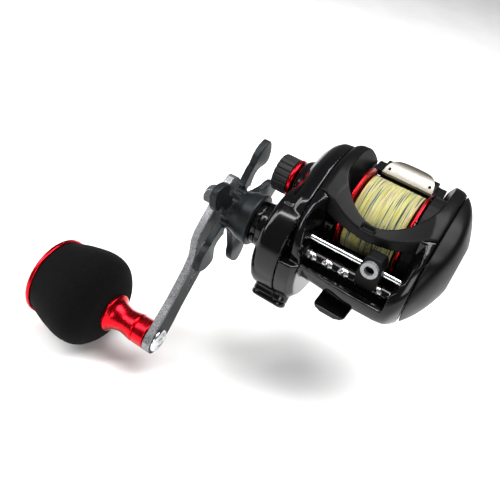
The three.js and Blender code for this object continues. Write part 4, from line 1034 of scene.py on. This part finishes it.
def makeLine():
    x0, x1, radius = roundSize("line_winding")[:3]
    strand = spoolShape["strand"]
    top = radius - strand
    arbor = spoolShape["arbor"] + 0.3
    core = turned("woundLine", [(x0 + 2.4, arbor), (x0 + 1.9, arbor + 1.1), (x0 + 0.3, top - 0.1),
            (x1 - 0.3, top - 0.1), (x1 - 1.9, arbor + 1.1), (x1 - 2.4, arbor)], around=128)
    shaker = random.Random(7)
    points, faces = [], []
    turns = spoolShape["turns"]
    left, right = x0 + 0.35, x1 - 0.35
    for layer, lift in ((0, -0.12), (1, 0.0)):
        path = []
        steps = turns * 72 // (1 if layer == 0 else 4)
        count = turns if layer == 0 else turns // 4
        wander = [shaker.uniform(-1, 1) for k in range(count + 2)]
        for s in range(steps + 1):
            t = s / steps
            turn = t * count
            k = int(turn)
            drift = (wander[k] * (1 - turn + k) + wander[k + 1] * (turn - k)) * (0.13
                    if layer == 0 else 0.6)
            a = 2 * pi * turn + layer
            along = left + (right - left) * (t if layer == 0 else 1 - t)
            x = min(max(along + drift + spoolShape["lay"] * 6 * sin(a), left), right)
            r = top + lift + 0.05 * sin(3 * a + k)
            path.append(Vector((x, r * cos(a), r * sin(a))))
        more, sides = tube(path, strand * (1 if layer == 0 else 0.8))
        faces += [tuple(i + len(points) for i in face) for face in sides]
        points += more
    gather(core, [makeObject("strands", points, faces)])
    place(smooth(core, 70), "line_winding", "spool", "braid", "braidedLine")


thumbShape = {"rise": 4, "hole": 0.6, "clear": 1.1, "travel": 3}


def makeThumb():
    x0, x1, y0, rear = thumbBox[:4]
    plateX0, plateX1, front, plateY1, plateZ0 = box("thumb_plate")[:5]
    middle = (front + rear) / 2
    topZ = plateZ0 + 1
    rise = thumbShape["rise"]
    crown = [(front, topZ - 3.4), (front, topZ - 0.7)] + bend((front, topZ - 0.5),
            (middle, topZ + rise + 0.4), (rear, topZ + rise - 1.6), 12) + [(rear, topZ + rise - 1.6),
            (rear, topZ - 2.4), (rear - 2.2, topZ - 3.6)]
    bar = slabX("thumbBar", crown, x0, x1)
    bed = blockOf("bed", plateX0 - 0.3, plateX1 + 0.3, y0 - 5, wide, topZ - 1.3, wide)
    combine(bar, [bed, blockOf("ends", -wide, wide, 0, wide, topZ - 0.3, wide)])
    seat = slabX("seat", [(front + 0.05, topZ - 4), (front + 0.05, topZ - 1.4)] + bend((front + 0.05,
            topZ - 1.4), (middle, topZ + rise - 0.6), (rear - 0.1, topZ + rise - 2.6), 12) + [(rear - 0.1,
            topZ + rise - 2.6), (rear - 0.1, topZ - 2.6), (rear - 2.3,
            topZ - 3.7)], plateX0 - 0.35, plateX1 + 0.35)
    fuse(bar, [seat], 0.25)
    clear = rimRadius + thumbShape["clear"]
    combine(bar, [disc("way", clear, -wide, wide, 0, z, 160) for z in (0, thumbShape["travel"])])
    castSkin(bar, 0.25, 3)
    place(bar, "thumb_bar", "thumb", "black_plastic", "mouldedNylon")
    skin = bend((front, topZ), (middle, topZ + rise + 0.8), (plateY1, topZ + rise - 1.2),
            20) + [(plateY1, topZ + rise - 1.2)]
    back = bend((plateY1, topZ + rise - 2.1), (middle, topZ + rise - 0.2), (front, topZ - 1),
            20) + [(front, topZ - 1)]
    plate = slabX("thumbPlate", skin + back, plateX0 - 1, plateX1 + 1)
    half = (plateX1 - plateX0) / 2
    plan = [(-half, front - 0.05), (half, front - 0.05)] + bend((half, front), (half * 0.8, plateY1),
            (0, plateY1), 16)
    plan += bend((0, plateY1), (-half * 0.8, plateY1), (-half, front), 16) + [(-half, front)]
    keep = slabZ("plan", plan, -5, 40)
    combine(plate, [keep], "INTERSECT")
    holes = []
    for side in (-1, 1):
        hole = [(side * half * 0.8 + thumbShape["hole"] * cos(a), front + 1.7
                + thumbShape["hole"] * sin(a)) for a in (2 * pi * i / 24 for i in range(24))]
        holes.append(slabZ("hole", hole, topZ - 0.2, 40))
    combine(plate, holes)
    soften(plate, 0.25, 3, 40)
    place(smooth(plate, 40), "thumb_plate", "thumb", "champagne", "satinNickel")


# level wind
guideShape = {"half": 4.4, "grain": 0.22, "groove": 0.62, "crossings": 5}


def makeLevelWind():
    x0, x1, radius, y, z = roundSize("guide_rod")
    rod = roundCorners([(x0, 0), (x0, radius), (x1, radius), (x1, 0)], 0.15)
    place(smooth(turned("guideRod", rod, y, z), 40), "guide_rod", "housing", "steel", "chromePlate")
    rings = []
    left, right = wallLeftInner + 0.4, wallRightInner - 0.4
    along, around, turns = 360, 64, guideShape["crossings"]
    for k in range(along + 1):
        x = left + (right - left) * k / along
        lead = 2 * pi * turns * k / along
        row = []
        for i in range(around):
            a = 2 * pi * i / around
            near = max(cos(a - lead), cos(a + lead + pi))
            depth = min(max((near - 0.62) / 0.16, 0.0), 1.0) * min(1.0, k / 4, (along - k) / 4)
            r = wormRadius - guideShape["groove"] * depth
            row.append((x, wormY + r * cos(a), wormZ + r * sin(a)))
        rings.append(row)
    worm = loft("wormShaft", rings)
    ends = [disc("journal", 1.9, wormX0, left + 0.5, wormY, wormZ, 48),
            disc("journal", 1.9, right - 0.5, wormX1, wormY, wormZ, 48)]
    combine(worm, ends, "UNION")
    # lands in black lacquer and grooves in polished steel, so the grooves glint as bright dashes on black: a
    # painted pattern of highlights on the worm
    place(smooth(worm, 45), "worm_shaft", "worm", "steel", "blackLacquer", "polishedSteel")
    for face in worm.data.polygons:
        centre = face.center
        reach = hypot(centre.y / mm - wormY, centre.z / mm - spoolHeight - wormZ)
        face.material_index = 1 if reach < wormRadius - 0.12 else 0
    makeGuide()


def alongY(piece, x, y, z):  # a piece about the X axis, stood on an axis along Y through x and z
    return standAt(piece, -90, "Z", x, y, z)


def makeGuide():
    ringX0, ringX1, ringY0, ringY1, ringZ0, ringZ1 = box("line_guide_ring")
    x, ringZ, radius = (ringX0 + ringX1) / 2, (ringZ0 + ringZ1) / 2, (ringX1 - ringX0) / 2
    front = ringY0 + 1.6
    rodY, rodZ = roundSize("guide_rod")[3:]
    side = [(-22.4, wormZ - 3.6), (-22.4, 1.2)] + bend((-22.4, 1.2), (-22.6, ringZ + radius + 1),
            (-25.4, ringZ + radius + 1), 10)
    side += [(front + 0.8, ringZ + radius + 0.9), (front, ringZ + radius), (front, ringZ - radius - 1)]
    side += bend((front, ringZ - radius - 1), (front + 0.2, wormZ), (-29, wormZ - 1.6), 10)
    side += bend((-29, wormZ - 1.6), (-27.6, wormZ - 3.6), (-25.6, wormZ - 3.8), 8) + [(-24, wormZ - 3.8)]
    body = slabX("carriage", side, x - guideShape["half"], x + guideShape["half"])
    oval = [(x + guideShape["half"] * cos(a), -5.1 + 10.4 * sin(a)) for a in (2 * pi * i / 96
            for i in range(96))]
    keep = loft("oval", [[(px, y, pz) for px, pz in oval] for y in (-60, 10)])
    combine(body, [keep], "INTERSECT")
    eye = alongY(disc("eye", radius - 0.4, -40, 40), x, -25, ringZ)
    ways = [disc("way", 1.25, x - 9, x + 9, rodY, rodZ), disc("way", wormRadius + 0.3, x - 9, x + 9,
            wormY, wormZ)]
    combine(body, [eye] + ways)
    castSkin(body, guideShape["grain"], 3)
    combine(body, [alongY(disc("seat", radius + 0.05, -4, 2), x, ringY1, ringZ)])
    place(body, "line_guide_carriage", "line_guide", "black_plastic", "mouldedNylon")
    bore, depth = 1.8, (ringY1 - ringY0) / 2
    lip = [(depth, bore + 0.1), (depth, radius)] + arc(-depth + 0.75, radius - 0.75, 0.75, pi / 2, pi, 8)
    lip += arc(-depth + 0.9, bore + 0.9, 0.9, pi, 1.5 * pi, 8) + [(0.2, bore)]
    ring = alongY(turned("guideRing", lip, 0, 0, 96), x, (ringY0 + ringY1) / 2, ringZ)
    place(smooth(ring, 50), "line_guide_ring", "line_guide", "ceramic", "zirconia")


dialShape = {"slot": 1.2, "depth": 0.5}


def makeDial():
    x0, x1, radius = roundSize("brake_dial")[:3]
    body = roundCorners([(x0, 0), (x0, 2.5), (x1 - 0.8, 2.5), (x1 - 0.8, radius), (x1, radius - 0.2),
            (x1, 0)], 0.15)
    dial = turned("brakeDial", body)
    half = dialShape["slot"] / 2
    combine(dial, [blockOf("slot", x1 - dialShape["depth"], x1 + 1, -half, half, -radius + 0.8,
            radius - 0.8)])
    place(smooth(soften(dial, 0.15, 2, 40), 40), "brake_dial", "brake_dial", "black_plastic",
            "satinPaint")


def makeWorkings():
    makeArm()
    makeNut()
    makeKnob()
    makeStar()
    makeClickRing()
    makeTensionCap()
    print("handle side done")
    makeSpool()
    makeLine()
    makeThumb()
    makeLevelWind()
    makeDial()
    print("spool and level wind done")


for material, kept in {"blackLacquer": "gear_side_cover click_ring frame",
        "satinPaint": "palm_side_plate star_drag top_cover",
        "mouldedNylon": "port_cap brake_housing worm_bush_left worm_bush_right level_wind_drive_gear thumb_bar brake_dial worm_gear line_guide_carriage", "polishedSteel": "port_screw one_way_clutch spool_bearing_handle_side spool_bearing_palm_side brake_magnet_ring drive_shaft drag_pressure_plate drag_spring_washer knob_pin knob_screw spool_shaft brake_rotor clutch_yoke worm_shaft level_wind_pawl", "chromePlate": "guide_rod handle_nut", "cutBrass": "drive_gear pinion_gear", "carbonCloth": "drag_washer", "machinedEdge": "handle_arm", "anodisedRed": "nut_washer knob_stem knob_cap spool tension_ring", "evaFoam": "knob_grip", "braidedLine": "line_winding", "satinNickel": "thumb_plate", "ribbedRubber": "tension_knob", "zirconia": "line_guide_ring"}.items():
    for node in kept.split():
        shadeNode(node, material)

makeShells()
makeWorkings()


# stage, lights and camera
stageSizes = {"floorHalf": 3.0, "drop": 0.0005}


def makeStage():
    low = cadBox[0][2] - stageSizes["drop"]
    half = stageSizes["floorHalf"]
    mesh = bpy.data.meshes.new("floor")
    mesh.from_pydata([(-half, -half, low), (half, -half, low), (half, half, low), (-half, half, low)], [],
            [(0, 1, 2, 3)])
    floor = bpy.data.objects.new("floor", mesh)
    bpy.context.scene.collection.objects.link(floor)
    mesh.materials.append(finish["paleCard"])
    world = bpy.data.worlds.new("studio")
    world.use_nodes = True
    world.node_tree.nodes["Background"].inputs["Color"].default_value = fromHex("f4f6f8")
    world.node_tree.nodes["Background"].inputs["Strength"].default_value = 0.2
    bpy.context.scene.world = world


def addSoftbox(name, position, target, width, height, power):
    light = bpy.data.lights.new(name, "AREA")
    light.shape = "RECTANGLE"
    light.size, light.size_y = width, height
    light.energy = power
    lamp = bpy.data.objects.new(name, light)
    lamp.location = position
    lamp.rotation_euler = (Vector(target) - Vector(position)).to_track_quat("-Z", "Y").to_euler()
    bpy.context.scene.collection.objects.link(lamp)


# azimuth and elevation of the line from the object to the camera, and how far the view is rolled
cameraSet = {"azimuth": 22.4, "elevation": 37.49, "roll": 14.95, "aim": (-0.0383, -0.0316, 0.0061),
        "distance": 0.243, "lens": 44.74}


def makeCamera():
    az, el, roll = (radians(cameraSet[k]) for k in ("azimuth", "elevation", "roll"))
    back = Vector((sin(az) * cos(el), -cos(az) * cos(el), sin(el)))
    right = Vector((cos(az), sin(az), 0))
    up = back.cross(right)
    turnedRight = right * cos(roll) + up * sin(roll)
    turnedUp = up * cos(roll) - right * sin(roll)
    data = bpy.data.cameras.new("camera")
    data.lens = cameraSet["lens"]
    data.sensor_width = 36
    data.clip_start = 0.01
    camera = bpy.data.objects.new("camera", data)
    rotation = Matrix((turnedRight, turnedUp, back)).transposed().to_4x4()
    camera.matrix_world = Matrix.Translation(Vector(cameraSet["aim"])
            + back * cameraSet["distance"]) @ rotation
    bpy.context.scene.collection.objects.link(camera)
    bpy.context.scene.camera = camera


makeStage()
addSoftbox("overhead", (0.1, 0.1, 0.7), (0, 0, 0), 0.5, 0.5, 9)
addSoftbox("sideStrip", (-0.5, -0.25, 0.35), (-0.02, 0, 0.01), 0.15, 0.5, 3)
addSoftbox("frontFill", (0.35, -0.6, 0.25), (0, 0, 0), 0.35, 0.3, 2)
addSoftbox("lineStrip", (-0.22, -0.2, 0.55), (-0.02, 0, 0.01), 0.035, 0.7, 2)
makeCamera()
bpy.context.scene.view_settings.view_transform = "Standard"
